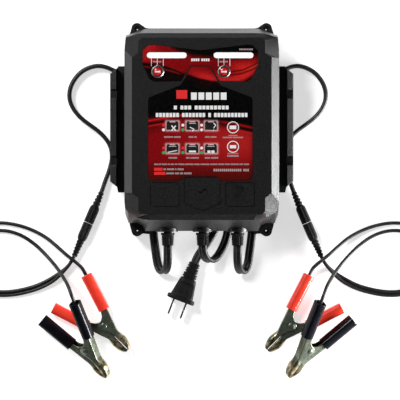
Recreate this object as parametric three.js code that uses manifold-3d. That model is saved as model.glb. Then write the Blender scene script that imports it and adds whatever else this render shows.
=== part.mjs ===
// A two-bank car battery charger lying on its back: a moulded case on four mounting posts, with a cord rail
// on each side, a mains cord with its plug, and two battery leads that end in quick connectors and clamps.
// Millimetres, +Z up. Z = 0 is the surface it lies on, +Y is the top of the charger, and the origin is the
// middle of the footprint of the case.
import * as THREE from 'three';
import { mergeVertices } from 'three/addons/utils/BufferGeometryUtils.js';
import Module from 'manifold-3d';

const wasm = await Module();
wasm.setup();

// Case
const caseHalfWidth = 74;
const backZ = 18; // underside of the case, above the bay that holds the spare cord
const seamZ = 27; // where the front and rear covers meet
const faceZ = 54; // front face
const wall = 2.5;
const faceHalfWidth = 66.7;
const cornerHalfWidth = 60.5;
const faceTop = 86.9;
const faceBottom = -81.7;
const stepTop = [68, 72.4];
const stepBottom = [-66, -61.3];
const earX = 62.6;
const earY = 97.85;
const earRadius = 5.4;
const screwHoleRadius = 2.3;

// Front panel
const labelRecess = 0.7;
const labelThickness = 0.4;
const labelMiddle = -1.3;
const buttonPlaces = { left: [-42.1, 54.4], right: [21.2, 54.4] };
const buttonRadius = 4.3;
const windowPlaces = { left: [-33.4, 70.1], right: [30.3, 70.1] };
const windowSize = [37.6, 5.2];

// Cords
const cordThickness = 4.4; // flat cords of the mains and of the two leads
const cordWidth = 8.4;
const glandX = { left: -32.8, mains: 0.9, right: 34.6 };
const glandZ = 25;
const glandEnd = -112;
const meetGap = 0.4;
const hankRadius = 21;
const hankTop = 16.9;
const hanks = {
  left: { x: -44.5, y: 0, straight: 95 },
  mains: { x: 0, y: 6, straight: 110 },
  right: { x: 44.5, y: 0, straight: 95 },
};
const mirrorX = -4; // the two harnesses lie as mirror images about this plane

// Clamps
const clampHalfThickness = 5;
const gripHalfThickness = 6.1;
const sheet = 1.1;
const rivetRadius = 2;
const gripAngle = THREE.MathUtils.degToRad(17.5);
const gripStart = 0;
const gripLength = 38;

const finishes = {
  case_plastic: { color: 0x17171a, roughness: 0.55, metalness: 0 },
  soft_black: { color: 0x141416, roughness: 0.5, metalness: 0 },
  cord_pvc: { color: 0x202022, roughness: 0.45, metalness: 0 },
  grip_red: { color: 0xf03418, roughness: 0.35, metalness: 0 },
  grip_black: { color: 0x0a0a0e, roughness: 0.25, metalness: 0 },
  plated_steel: { color: 0x6f7260, roughness: 0.3, metalness: 1 },
  blade_metal: { color: 0x9a9a98, roughness: 0.3, metalness: 1 },
  label_film: { color: 0x5a0c10, roughness: 0.3, metalness: 0 },
  window_white: { color: 0xf4f4f2, roughness: 0.25, metalness: 0 },
  button_red: { color: 0xc8101c, roughness: 0.35, metalness: 0 },
  board_green: { color: 0x1e5a34, roughness: 0.4, metalness: 0 },
  core_steel: { color: 0x55575a, roughness: 0.45, metalness: 0.9 },
  winding_copper: { color: 0xa8612c, roughness: 0.35, metalness: 0.8 },
  aluminium: { color: 0xb4b6b8, roughness: 0.4, metalness: 1 },
};

const charger = new THREE.Group();

function addPart(name, geometry, finish, parent = charger) {
  const mesh = new THREE.Mesh(geometry, new THREE.MeshStandardMaterial(finishes[finish]));
  mesh.name = name;
  parent.add(mesh);
}

function asSolid(geometry) {
  const bare = geometry.clone();
  bare.deleteAttribute('normal');
  bare.deleteAttribute('uv');
  const merged = mergeVertices(bare, 1e-4);
  return new wasm.Manifold(new wasm.Mesh({
    numProp: 3,
    vertProperties: new Float32Array(merged.attributes.position.array),
    triVerts: new Uint32Array(merged.index.array),
  }));
}

function asGeometry(solid) {
  const mesh = solid.getMesh();
  const geometry = new THREE.BufferGeometry();
  geometry.setAttribute('position', new THREE.BufferAttribute(new Float32Array(mesh.vertProperties), 3));
  geometry.setIndex(new THREE.BufferAttribute(new Uint32Array(mesh.triVerts), 1));
  return geometry;
}

function joined(...geometries) {
  return asGeometry(geometries.map(asSolid).reduce((whole, piece) => whole.add(piece)));
}

function cut(geometry, ...tools) {
  return asGeometry(tools.map(asSolid).reduce((whole, tool) => whole.subtract(tool), asSolid(geometry)));
}

function common(geometry, other) {
  return asGeometry(asSolid(geometry).intersect(asSolid(other)));
}

function prism(points, low, high) {
  const shape = new THREE.Shape(points.map(([x, y]) => new THREE.Vector2(x, y)));
  return new THREE.ExtrudeGeometry(shape, { depth: high - low, bevelEnabled: false }).translate(0, 0, low);
}

function box([x0, y0, z0], [x1, y1, z1]) {
  return prism([[x0, y0], [x1, y0], [x1, y1], [x0, y1]], z0, z1);
}

function circlePoints(radius, sides, x = 0, y = 0) {
  return Array.from({ length: sides }, (_, i) => {
    const angle = (2 * Math.PI * (i + 0.5)) / sides;
    return [x + radius * Math.cos(angle), y + radius * Math.sin(angle)];
  });
}

function disc(radius, low, high, sides = 16, x = 0, y = 0) {
  return prism(circlePoints(radius, sides, x, y), low, high);
}

function stadiumPoints(halfLength, radius, x, y, alongX, sides = 8) {
  const points = [];
  for (const end of [1, -1]) {
    for (let i = 0; i <= sides; i += 1) {
      const angle = Math.PI * (i / sides - 0.5) + (end > 0 ? 0 : Math.PI);
      const along = end * halfLength + radius * Math.cos(angle);
      const across = radius * Math.sin(angle);
      points.push(alongX ? [x + along, y + across] : [x - across, y + along]);
    }
  }
  return points;
}

// A closed skin over rings of equally many points, each given as its half from bottom middle to top middle.
function loft(halves) {
  const rings = halves.map((half) => {
    const mirrored = half.slice(1, -1).reverse().map(([x, y, z]) => [-x, y, z]);
    return [...half, ...mirrored];
  });
  const count = rings[0].length;
  const positions = rings.flat(2);
  const faces = [];
  for (let level = 0; level + 1 < rings.length; level += 1) {
    for (let i = 0; i < count; i += 1) {
      const a = level * count + i;
      const b = level * count + ((i + 1) % count);
      faces.push([a, b, b + count], [a, b + count, a + count]);
    }
  }
  const lid = (ring) => THREE.ShapeUtils.triangulateShape(ring.map(([x, y]) => new THREE.Vector2(x, y)), []);
  const top = (rings.length - 1) * count;
  lid(rings[0]).forEach(([a, b, c]) => faces.push([c, b, a]));
  lid(rings[rings.length - 1]).forEach(([a, b, c]) => faces.push([top + a, top + b, top + c]));
  const geometry = new THREE.BufferGeometry();
  geometry.setAttribute('position', new THREE.BufferAttribute(new Float32Array(positions), 3));
  geometry.setIndex(faces.flat());
  return geometry;
}

function lathe(profile, sides = 16) {
  return new THREE.LatheGeometry(profile.map(([radius, height]) => new THREE.Vector2(radius, height)), sides);
}

// A section swept along a smooth curve through the points.
function tube(points, section, steps) {
  const path = new THREE.CatmullRomCurve3(points.map((p) => new THREE.Vector3(...p)), false, 'centripetal');
  const shape = new THREE.Shape(section.map(([x, y]) => new THREE.Vector2(x, y)));
  return new THREE.ExtrudeGeometry(shape, { extrudePath: path, steps, bevelEnabled: false });
}

function ovalSection(halfUp, halfAcross) {
  return circlePoints(1, 8).map(([x, y]) => [x * halfUp, y * halfAcross]);
}

function mirrored(points) {
  return points.map(([x, y, z]) => [2 * mirrorX - x, y, z]);
}

function mirrorImage(geometry) {
  const image = geometry.clone().scale(-1, 1, 1);
  const index = Array.from(image.index.array);
  image.setIndex(index.map((_, i) => index[i - (i % 3) + (2 - (i % 3))]));
  return image;
}

// --- Case -------------------------------------------------------------------------------------------------

const seamHalf = [
  [0, -97.9], [54.5, -97.9], [57.2, -92.6], [62.6, -90.2], [70.5, -90.2], [73.6, -82], [caseHalfWidth, -74],
  [caseHalfWidth, -61.3], [caseHalfWidth, 68], [caseHalfWidth, 76], [73.2, 90.6], [60.8, 95.2], [52.5, 97.6],
  [0, 97.6],
];

const bevelHalf = [
  [0, -87.1, 50], [50, -87.1, 50], [56, -86.6, 49.6], [62, -84.5, 49], [70.5, -79.5, 47.2], [73.4, -76, 46.2],
  [caseHalfWidth, -70, 46], [caseHalfWidth, -61.3, 46], [caseHalfWidth, 68, 46], [caseHalfWidth, 76, 46],
  [72.9, 87.5, 46.5], [60.4, 91.2, 49], [51, 91.5, 50], [0, 91.5, 50],
];

const faceHalf = [
  [0, faceBottom], [46, faceBottom], [52, faceBottom], [57.5, faceBottom], [cornerHalfWidth, -78.5],
  [cornerHalfWidth, -74], [cornerHalfWidth, stepBottom[0]], [faceHalfWidth, stepBottom[1]],
  [faceHalfWidth, stepTop[0]], [cornerHalfWidth, stepTop[1]], [cornerHalfWidth, 83.5], [57, faceTop],
  [48, faceTop], [0, faceTop],
];

const cavityBottom = [[0, -94.6], [51, -94.6], [54, -88], [70, -86], [71.4, -76], [71.4, 86], [58, 92], [0, 94.8]];
const cavityMiddle = [[0, -85.5], [50, -85.5], [56, -83], [66, -77], [70.6, -71], [70.6, 83], [58, 88], [0, 89]];
const cavityTop = [[0, -79], [48, -79], [54, -79], [57.5, -75], [58, -70], [58, 80], [54, 84], [0, 84]];

const atHeight = (half, z) => half.map(([x, y]) => [x, y, z]);

const statusHalf = [
  [0, 74.6], [44, 79.9], [49.5, 79.6], [55, 74.6], [55, 61.4], [48.3, 47.2], [43.9, 45], [18.6, 45.6],
  [9.3, 60.4], [0, 60.4],
];
const instructionHalf = [
  [0, 59.3], [8.7, 59.3], [15.9, 46.1], [19.2, 41.2], [48.8, 29.7], [49.7, 26.8], [49.7, -46.7], [46.8, -49.5],
  [20, -49.7], [17.5, -47.9], [15.4, -45.5], [0, -45.5],
];
const numberTag = [
  [-14.2, -53.1], [-12.2, -51.1], [12.2, -51.1], [14.2, -53.1], [14.2, -72.7], [12.2, -74.7], [-12.2, -74.7],
  [-14.2, -72.7],
];
const inputTag = [
  [-17.4, -47.9], [-15.4, -45.9], [15.4, -45.9], [17.4, -47.9], [17.4, -70.4], [15.9, -72.1], [0, -79.1],
  [-15.9, -72.1], [-17.4, -70.4],
];

function wholeOutline(half) {
  const other = half.slice(1, -1).reverse().map(([x, y]) => [-x, y]);
  return [...half, ...other].map(([x, y]) => [x + labelMiddle, y]);
}

// The outline with each edge moved outwards by a distance.
function grown(points, distance) {
  const turn = THREE.ShapeUtils.area(points.map(([x, y]) => new THREE.Vector2(x, y))) > 0 ? 1 : -1;
  const edgeNormal = ([x0, y0], [x1, y1]) => {
    return new THREE.Vector2(y1 - y0, x0 - x1).normalize().multiplyScalar(turn);
  };
  return points.map((point, i) => {
    const before = edgeNormal(points[(i + points.length - 1) % points.length], point);
    const after = edgeNormal(point, points[(i + 1) % points.length]);
    const miter = before.clone().add(after).divideScalar(1 + before.dot(after));
    return [point[0] + miter.x * distance, point[1] + miter.y * distance];
  });
}

function tagGroove(points, x) {
  const placed = points.map(([px, py]) => [px + x, py]);
  const floor = faceZ - 0.8;
  return cut(prism(placed, floor, faceZ + 1), prism(grown(placed, -0.9), floor - 1, faceZ + 2));
}

function alongMinusY(geometry, x, z) {
  return geometry.rotateX(Math.PI / 2).translate(x, 0, z);
}

function bossAt(x) {
  return alongMinusY(disc(10, 84, 98.7, 16), x, glandZ);
}

function boreAt(x) {
  return alongMinusY(disc(4.3, 80, 101, 12), x, glandZ);
}

function frontCover() {
  const outer = loft([atHeight(seamHalf, seamZ), bevelHalf, atHeight(faceHalf, faceZ)]);
  const cavity = loft([atHeight(cavityBottom, seamZ - 1), atHeight(cavityMiddle, 45), atHeight(cavityTop, 51.3)]);
  const aboveSeam = box([-60, -110, seamZ], [60, -80, faceZ]);
  const bosses = Object.values(glandX).map((x) => common(bossAt(x), aboveSeam));
  const shell = cut(joined(outer, ...bosses), cavity);
  const openings = [];
  for (const [x, y] of Object.values(buttonPlaces)) {
    openings.push(disc(buttonRadius + 0.4, 50, faceZ + 1, 24, x, y));
  }
  for (const [x, y] of Object.values(windowPlaces)) {
    const half = windowSize[0] / 2 - windowSize[1] / 2;
    openings.push(prism(stadiumPoints(half, windowSize[1] / 2 + 0.3, x, y, true), 50, faceZ + 1));
  }
  openings.push(prism(grown(wholeOutline(statusHalf), 0.3), faceZ - labelRecess, faceZ + 1));
  openings.push(prism(grown(wholeOutline(instructionHalf), 0.3), faceZ - labelRecess, faceZ + 1));
  openings.push(tagGroove(numberTag, -35.2), tagGroove(inputTag, 0.5), tagGroove(numberTag, 36.7));
  Object.values(glandX).forEach((x) => openings.push(boreAt(x)));
  return cut(shell, ...openings);
}

const earTab = [
  [50, 84], [50, 92], [52.2, 97], [57, 100.6], [60.6, 102.6], [64.6, 102.6], [67.3, 100.4], [69.6, 92.5], [70.4, 84],
];

function ears() {
  const pieces = [];
  for (const [sideX, sideY] of [[-1, -1], [-1, 1], [1, -1], [1, 1]]) {
    const [x, y] = [sideX * earX, sideY * earY];
    const tab = earTab.map(([px, py]) => [sideX * px, sideY * py]);
    const ridge = [[x, y - 2], [x, y + 2], [x - sideX * 12, y + 0.2], [x - sideX * 12, y - 3.2]];
    pieces.push(disc(earRadius, 0, 20, 16, x, y));
    pieces.push(prism(sideX === sideY ? tab.reverse() : tab, 13, 19.2));
    pieces.push(prism(sideX > 0 ? ridge.reverse() : ridge, 16, 20));
  }
  return pieces;
}

function rearCover() {
  const lowerHalf = seamHalf.map(([x, y]) => [x * 0.985, y * 0.985, backZ]);
  const outer = loft([lowerHalf, atHeight(seamHalf, seamZ)]);
  const belowSeam = box([-60, -110, 0], [60, -80, seamZ]);
  const bosses = Object.values(glandX).map((x) => common(bossAt(x), belowSeam));
  const inside = cavityBottom.map(([x, y]) => [x * 0.985, y * 0.985]);
  const cavity = loft([atHeight(inside, backZ + wall), atHeight(cavityBottom, seamZ + 1)]);
  const shell = cut(joined(outer, ...bosses), cavity);
  const standoffs = [[-50, 0], [50, 0], [-50, 76], [50, 76]].map(([x, y]) => disc(3.4, 20, 34, 12, x, y));
  const holes = [];
  for (const x of [-earX, earX]) {
    for (const y of [earY, -earY]) {
      holes.push(disc(screwHoleRadius, -1, 28, 12, x, y));
    }
  }
  Object.values(glandX).forEach((x) => holes.push(boreAt(x)));
  return cut(joined(shell, ...ears(), ...standoffs), ...holes);
}

// --- Cord rails -------------------------------------------------------------------------------------------

const railTop = 29;
const railFloor = [15.4, 17.7];
const railInner = 81.5;
const railOuter = 88.3;

function cordRail() {
  const floor = prism([
    [66.5, -48], [74.6, -60.8], [81, -60.8], [railInner + 0.5, -55.5], [railOuter, -50.2], [railOuter, 53.5],
    [railInner + 0.5, 59.2], [81, 61.5], [74.6, 61.5], [66.5, 50],
  ], ...railFloor);
  const rail = prism([
    [railInner, -55.5], [railOuter, -50.2], [railOuter, 53.5], [railInner, 59.2],
  ], railFloor[0], railTop);
  const hollow = prism([
    [railInner + 2, -50], [railOuter - 2, -48], [railOuter - 2, 51], [railInner + 2, 53],
  ], 0, railTop - 2);
  const notches = [[30.2, 38.2], [-34, -26]].map(([y0, y1]) => {
    return box([railInner - 1, y0, railTop - 1.2], [railOuter + 1, y1, railTop + 1]);
  });
  return cut(joined(floor, rail), hollow, ...notches);
}

// --- Front panel ------------------------------------------------------------------------------------------

function buttonGap(scale) {
  return Object.values(buttonPlaces).map(([x, y]) => disc((buttonRadius + 1.2) * scale, 50, 60, 24, x, y));
}

function labelFilm(outline) {
  const low = faceZ - labelRecess;
  const windows = Object.values(windowPlaces).map(([x, y]) => {
    const half = (windowSize[0] - windowSize[1]) / 2;
    return prism(stadiumPoints(half, windowSize[1] / 2 + 0.4, x, y, true), 50, 60);
  });
  return cut(prism(outline, low, low + labelThickness), ...buttonGap(1), ...windows);
}

function ledWindow(x, y) {
  const half = (windowSize[0] - windowSize[1]) / 2;
  const lens = prism(stadiumPoints(half, windowSize[1] / 2, x, y, true), 50.2, faceZ);
  const flange = prism(stadiumPoints(half, windowSize[1] / 2 + 1.2, x, y, true), 49.6, 51.1);
  return joined(lens, flange);
}

function modeButton(x, y) {
  const profile = [
    [0, 38], [1.5, 38], [1.5, 49.9], [5.2, 49.9], [5.2, 51.1], [buttonRadius, 51.1], [buttonRadius, 54.2],
    [3.4, 55], [0, 55.3],
  ];
  return lathe(profile, 20).rotateX(Math.PI / 2).translate(x, y, 0);
}

// --- Electronics ------------------------------------------------------------------------------------------

const boardZ = [34, 35.6];

function circuitBoard() {
  const plate = box([-55, -4, boardZ[0]], [55, 82, boardZ[1]]);
  const switches = Object.values(buttonPlaces).map(([x, y]) => {
    return box([x - 3, y - 3, boardZ[0] + 0.5], [x + 3, y + 3, 36.9]);
  });
  const lights = Object.values(windowPlaces).flatMap(([x, y]) => [-12, -4, 4, 12].map((dx) => {
    return disc(1.5, boardZ[0] + 0.5, 44, 8, x + dx, y);
  }));
  return joined(plate, ...switches, ...lights);
}

function transformerCore() {
  const block = box([-27, -52, 21], [27, -22, 48]);
  const windows = [[-18, -9], [9, 18]].map(([x0, x1]) => box([x0, -60, 26], [x1, 0, 43]));
  return cut(block, ...windows);
}

function transformerWinding() {
  return cut(box([-17.5, -58, 21.6], [17.5, -16, 47.4]), box([-9.3, -52.3, 0], [9.3, -21.7, 60]),
    box([-30, -52.3, 0], [30, -21.7, 26.3]), box([-30, -52.3, 42.7], [30, -21.7, 60]));
}

function heatSink() {
  const base = box([-40, 8, boardZ[1]], [-12, 26, 38]);
  const fins = [0, 1, 2, 3, 4].map((i) => box([-40, 8 + i * 4, 37], [-12, 10 + i * 4, 48]));
  return joined(base, ...fins);
}

// --- Cords ------------------------------------------------------------------------------------------------

const roundCord = ovalSection(cordThickness / 2, cordThickness / 2);
const cordOnEdge = ovalSection(cordWidth / 2 - 0.1, cordThickness / 2);
const harnessTwin = ovalSection(1.7, 3.5);
const harnessWire = ovalSection(1.7, 1.7);

const leadGlandLoop = [
  [-32.8, glandEnd - meetGap, glandZ], [-32.8, -117, 24.9], [-32.8, -122.6, 23], [-33.2, -130, 18.6], [-34.6, -135.7, 12.6],
  [-37.4, -138, 7.2], [-40.8, -135.7, 3.8], [-43.3, -128.4, 2.5], [-44.9, -117.7, 2.3], [-46.3, -107, 2.3],
  [-47.5, -96.2, 2.3], [-49.5, -86, 2.6], [-53.3, -76, 3.2], [-57.8, -67.6, 3.7],
];
const sideLoopStart = {
  left: [[-68.6, 49.6, 6.6], [-75.6, 53.9, 4.6], [-85.4, 57.9, 4.3], [-92.2, 60.9, 4.3]],
  right: [[68.6, 48.4, 6.6], [75, 54, 4.8], [83.2, 60, 4.3]],
};
const sideLoop = [
  [-100, 62.4, 4.3],
  [-108.7, 60.9, 4.3], [-117.5, 56.1, 4.3], [-124.3, 48.3, 4.3], [-128.2, 39.1, 4.3], [-128.4, 29.8, 4.3],
  [-124.8, 20.6, 4.3], [-118, 12.3, 4.3], [-109.7, 5.7, 4.3], [-100.9, -0.8, 4.3], [-93.6, -8.1, 4.3],
  [-88.8, -16.4, 4.3], [-87.3, -26.1, 4.3], [-89.3, -36.9, 4.3], [-93.6, -49, 4.5], [-98.3, -62.4, 5.2],
];
const harnessRoute = [
  [-124.9, -124.3, 4.8], [-129.2, -131.2, 4], [-137, -139.1, 3.2], [-147.7, -146.9, 2.6], [-160.4, -153, 2.2],
  [-175, -157.1, 2], [-188.7, -159.1, 1.9], [-201.4, -158.6, 1.9], [-213.1, -154.7, 1.9],
];
const redWireRoute = [
  [-213.1, -154.7, 1.9], [-225.7, -145.5, 1.9], [-234, -130.4, 1.9], [-233.5, -113.8, 1.9],
  [-223.8, -99.2, 1.9], [-209.2, -91.9, 1.9], [-194.6, -90.4, 1.9], [-180, -92.4, 1.9], [-165.3, -97.2, 2.2],
  [-151.6, -104.5, 4], [-139.8, -113.9, 7.2], [-131.8, -120.9, 9.4], [-124.6, -126.6, 10.2],
  [-119.2, -131.2, 8.2], [-116, -134.6, 6.8], [-112.45, -140.6, 6.4],
];
const blackWireRoute = [
  [-213.1, -154.7, 1.9], [-222.8, -143, 1.9], [-228.7, -128.4, 1.9], [-226.2, -113.3, 1.9],
  [-216, -102.6, 1.9], [-202.4, -98.2, 1.9], [-188.7, -98.4, 1.9], [-175.1, -102.9, 2], [-162.4, -111.3, 2.6],
  [-153.5, -119.5, 4.8], [-145.5, -127.9, 9.8], [-138.5, -136, 18], [-132.4, -144.3, 28],
  [-128.4, -150.8, 35.4], [-124.9, -159.7, 39.2], [-122.15, -166.3, 36.7],
];
const mainsGlandLoop = [
  [glandX.mains, glandEnd - meetGap, glandZ], [0.9, -115.4, 24.9], [1.5, -118.8, 23.7], [3, -122.7, 20.6], [5.5, -125.7, 16.5],
  [9.3, -126.8, 12], [13.4, -124.6, 7.8], [17, -120.2, 4.8], [20.5, -113.8, 3.1], [23.2, -107, 2.5],
  [25, -99.8, 2.3], [25.4, -90, 2.4], [24, -80, 2.8], [22.3, -71.5, 3.3],
];
const mainsTail = [
  [-5.4, -73.6, 11.6], [4.6, -76.4, 10.4], [11.6, -81.4, 9.2], [14.2, -89, 8.2], [12.4, -97.2, 8],
  [8.8, -103.9, 8], [4.2, -110.8, 8], [-1.1, -118.3, 8], [-4.9, -124.7, 8], [-6.6, -129, 8],
];

function hankSolid({ x, y, straight }) {
  return prism(stadiumPoints(straight / 2, hankRadius, x, y, false), 0.1, hankTop);
}

function strainRelief(x) {
  const profile = [
    [0, 90], [3.9, 90], [3.9, 99], [6.6, 99], [6.6, 101.4], [6, 101.6], [6, 103], [5.6, 103.4], [5.4, 108],
    [5, -glandEnd], [0, -glandEnd],
  ];
  return alongMinusY(lathe(profile, 16).rotateX(Math.PI / 2), x, glandZ);
}

// --- Quick connectors -------------------------------------------------------------------------------------

// Place a piece drawn along +X so that it starts at a point and runs level in a direction.
function placeAlong(geometry, [x, y, z], direction) {
  return geometry.rotateZ(Math.atan2(direction[1], direction[0])).translate(x, y, z);
}

function taperedBlock(stations) {
  const pieces = [];
  for (let i = 0; i + 1 < stations.length; i += 1) {
    const [s0, w0, h0] = stations[i];
    const [s1, w1, h1] = stations[i + 1];
    const corners = [];
    for (const [s, w, h] of [[s0, w0, h0], [s1, w1, h1]]) {
      corners.push([s, -w, -h], [s, w, -h], [s, w, h], [s, -w, h]);
    }
    const geometry = new THREE.BufferGeometry();
    geometry.setAttribute('position', new THREE.BufferAttribute(new Float32Array(corners.flat()), 3));
    geometry.setIndex([0, 3, 2, 0, 2, 1, 4, 5, 6, 4, 6, 7, 0, 1, 5, 0, 5, 4, 1, 2, 6, 1, 6, 5, 2, 3, 7, 2, 7, 6,
      3, 0, 4, 3, 4, 7]);
    pieces.push(geometry);
  }
  return joined(...pieces);
}

const connectorStart = [-98.4, -62.7, 5.2];
const connectorDirection = [-0.393, -0.919];
const connectorJoint = 30;
const tongue = 11;

function connectorSocket() {
  const body = taperedBlock([[0, 2.6, 4.3], [13, 3.6, 4.4], [14.5, 4.6, 4.8], [connectorJoint, 4.8, 4.9]]);
  return cut(body, box([connectorJoint - tongue - 1, -3.3, -3.3], [connectorJoint + 1, 3.3, 3.3]));
}

function connectorPlug() {
  const start = connectorJoint + meetGap;
  const body = taperedBlock([
    [start, 4.8, 4.9], [start + 15, 4.6, 4.7], [start + 16.5, 3.6, 3.8], [start + 35, 2.4, 2.2],
  ]);
  return joined(body, box([start - tongue, -3, -3], [start + 1, 3, 3]));
}

// --- Mains plug -------------------------------------------------------------------------------------------

const plugStart = [-6.7, -129.3, 8];
const plugDirection = [-0.362, -0.932];
const bladeSpacing = 12.7;

function plugBody() {
  const body = taperedBlock([
    [0, 4.6, 3.6], [2, 5.6, 4.2], [16, 7.4, 5.6], [20, 8, 5.8], [35, 11.4, 6.4], [35.5, 13.8, 7.6], [39.5, 13.8, 7.6],
  ]);
  return body;
}

function plugBlade(side) {
  const y = (side * bladeSpacing) / 2;
  return box([39.6, y - 0.75, -3.17], [55.4, y + 0.75, 3.17]);
}

// --- Clamps -----------------------------------------------------------------------------------------------
// Drawn with the pivot at the origin, the jaws along +X, the fixed half towards +Y and the rivet along Z.

const jawOuter = [
  [33.3, 0.15], [33.4, 1.7], [31.9, 3.6], [28.3, 5.5], [24.3, 6.7], [20.8, 6.8], [16.5, 6.3], [12.6, 6.1],
  [6, 8.4], [0, 10.4], [-9.8, 13.9], [-42.2, 24.2],
];
const jawInner = [
  [-44.2, 18.2], [-12, 7.6], [-7, 4.2], [-4.9, 0], [-3.5, -3.5], [0, -4.9], [3.5, -3.5], [7, -1.4], [13, 0.15],
];
const underSpine = [
  [31.9, -20], [31.9, 1.5], [30.9, 2.8], [27.8, 4.3], [24, 5.5], [20.8, 5.6], [16.6, 5.1], [12.4, 4.9],
  [5.7, 7.2], [-0.3, 9.2], [-10.1, 12.7], [-60, 28.6], [-60, -20],
];

function clampHalf(halfThickness) {
  const body = prism([...jawOuter, ...jawInner], -halfThickness, halfThickness);
  const hollow = prism(underSpine, sheet - halfThickness, halfThickness - sheet);
  return cut(body, hollow, disc(rivetRadius + 0.15, -20, 20, 12));
}

function flipped(geometry) {
  return geometry.rotateX(Math.PI);
}

function gripBlock(s0, s1, halfAcross, halfUp, chamfer) {
  const [w, h, c] = [halfAcross, halfUp, chamfer];
  const section = [[-w + c, -h], [w - c, -h], [w, -h + c], [w, h - c], [w - c, h], [-w + c, h], [-w, h - c], [-w, -h + c]];
  const alongHandle = new THREE.Matrix4().makeBasis(
    new THREE.Vector3(0, 1, 0), new THREE.Vector3(0, 0, 1), new THREE.Vector3(1, 0, 0),
  );
  return prism(section, -s1, -s0).applyMatrix4(alongHandle).rotateZ(-gripAngle).translate(-10.7, 11.2, 0);
}

function clampGrip(halfThickness) {
  const outer = gripBlock(gripStart, gripStart + gripLength, 5.6, gripHalfThickness, 2.4);
  return cut(outer, gripBlock(-4, 35.3, 4.15, halfThickness + 0.15, 0.1));
}

function clampRivet() {
  const end = clampHalfThickness + 0.9;
  const profile = [
    [0, -end], [2.6, -end], [3.2, 0.4 - end], [3.2, 0.6 - end], [rivetRadius, 0.6 - end], [rivetRadius, end - 0.6],
    [3.2, end - 0.6], [3.2, end - 0.4], [2.6, end], [0, end],
  ];
  return lathe(profile, 12).rotateX(Math.PI / 2);
}

function clampSpring() {
  const coil = lathe([[2.4, -2.3], [4, -2.3], [4, 2.3], [2.4, 2.3], [2.4, -2.3]], 16).rotateX(Math.PI / 2);
  const leg = box([3, -0.6, -0.6], [13, 0.6, 0.6]).rotateZ(THREE.MathUtils.degToRad(146));
  return joined(coil, leg);
}

const innerHalfThickness = clampHalfThickness - sheet - 0.2;

function addClamp(name, gripFinish, pivot, jawDirection, fixedSide) {
  const along = new THREE.Vector3(...jawDirection).normalize();
  const side = new THREE.Vector3(...fixedSide);
  side.addScaledVector(along, -side.dot(along)).normalize();
  const up = new THREE.Vector3().crossVectors(along, side);
  const clamp = new THREE.Group();
  clamp.quaternion.setFromRotationMatrix(new THREE.Matrix4().makeBasis(along, side, up));
  clamp.position.set(...pivot);
  charger.add(clamp);
  addPart(`${name}_fixed_jaw`, clampHalf(clampHalfThickness), 'plated_steel', clamp);
  addPart(`${name}_moving_jaw`, flipped(clampHalf(innerHalfThickness)), 'plated_steel', clamp);
  addPart(`${name}_fixed_grip`, clampGrip(clampHalfThickness), gripFinish, clamp);
  addPart(`${name}_moving_grip`, flipped(clampGrip(innerHalfThickness)), gripFinish, clamp);
  addPart(`${name}_rivet`, clampRivet(), 'plated_steel', clamp);
  addPart(`${name}_spring`, clampSpring(), 'plated_steel', clamp);
}

// --- Assembly ---------------------------------------------------------------------------------------------

function addCase() {
  addPart('front_cover', frontCover(), 'case_plastic');
  addPart('rear_cover', rearCover(), 'case_plastic');
  addPart('cord_rail_right', cordRail(), 'case_plastic');
  addPart('cord_rail_left', mirrorImage(cordRail()), 'case_plastic');
  addPart('status_label', labelFilm(wholeOutline(statusHalf)), 'label_film');
  addPart('instruction_label', labelFilm(wholeOutline(instructionHalf)), 'label_film');
  for (const side of ['left', 'right']) {
    addPart(`led_window_${side}`, ledWindow(...windowPlaces[side]), 'window_white');
    addPart(`mode_button_${side}`, modeButton(...buttonPlaces[side]), 'button_red');
  }
}

function addElectronics() {
  addPart('circuit_board', circuitBoard(), 'board_green');
  addPart('transformer_core', transformerCore(), 'core_steel');
  addPart('transformer_winding', transformerWinding(), 'winding_copper');
  addPart('heat_sink', heatSink(), 'aluminium');
  addPart('filter_capacitor', disc(6, boardZ[1], 48, 16, 20, 16), 'soft_black');
}

function addMainsCord() {
  addPart('strain_relief_mains', strainRelief(glandX.mains), 'soft_black');
  addPart('mains_cord_gland_loop', tube(mainsGlandLoop, roundCord, 16), 'cord_pvc');
  addPart('mains_cord_hank', hankSolid(hanks.mains), 'cord_pvc');
  addPart('mains_cord_tail', tube(mainsTail, roundCord, 12), 'cord_pvc');
  addPart('plug_body', placeAlong(plugBody(), plugStart, plugDirection), 'soft_black');
  addPart('plug_blade_left', placeAlong(plugBlade(-1), plugStart, plugDirection), 'blade_metal');
  addPart('plug_blade_right', placeAlong(plugBlade(1), plugStart, plugDirection), 'blade_metal');
}

function addLead(side) {
  const flip = (points) => (side === 'left' ? points : mirrored(points));
  const gland = glandX[side];
  const loopShift = side === 'left' ? 0 : gland - (2 * mirrorX + 32.8);
  const glandLoop = flip(leadGlandLoop).map(([x, y, z]) => [x + loopShift, y, z]);
  addPart(`strain_relief_${side}`, strainRelief(gland), 'soft_black');
  addPart(`lead_${side}_gland_loop`, tube(glandLoop, roundCord, 18), 'cord_pvc');
  addPart(`lead_${side}_hank`, hankSolid(hanks[side]), 'cord_pvc');
  const sideRoute = [...sideLoopStart[side], ...flip(sideLoop)];
  addPart(`lead_${side}_side_loop`, tube(sideRoute, cordOnEdge, 24), 'cord_pvc');
  const [start] = flip([connectorStart]);
  const direction = [side === 'left' ? connectorDirection[0] : -connectorDirection[0], connectorDirection[1]];
  addPart(`connector_socket_${side}`, placeAlong(connectorSocket(), start, direction), 'soft_black');
  addPart(`connector_plug_${side}`, placeAlong(connectorPlug(), start, direction), 'soft_black');
  const harness = joined(
    tube(flip(harnessRoute), harnessTwin, 12),
    tube(flip(redWireRoute), harnessWire, 20),
    tube(flip(blackWireRoute), harnessWire, 20),
  );
  addPart(`harness_cord_${side}`, harness, 'cord_pvc');
}

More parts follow.
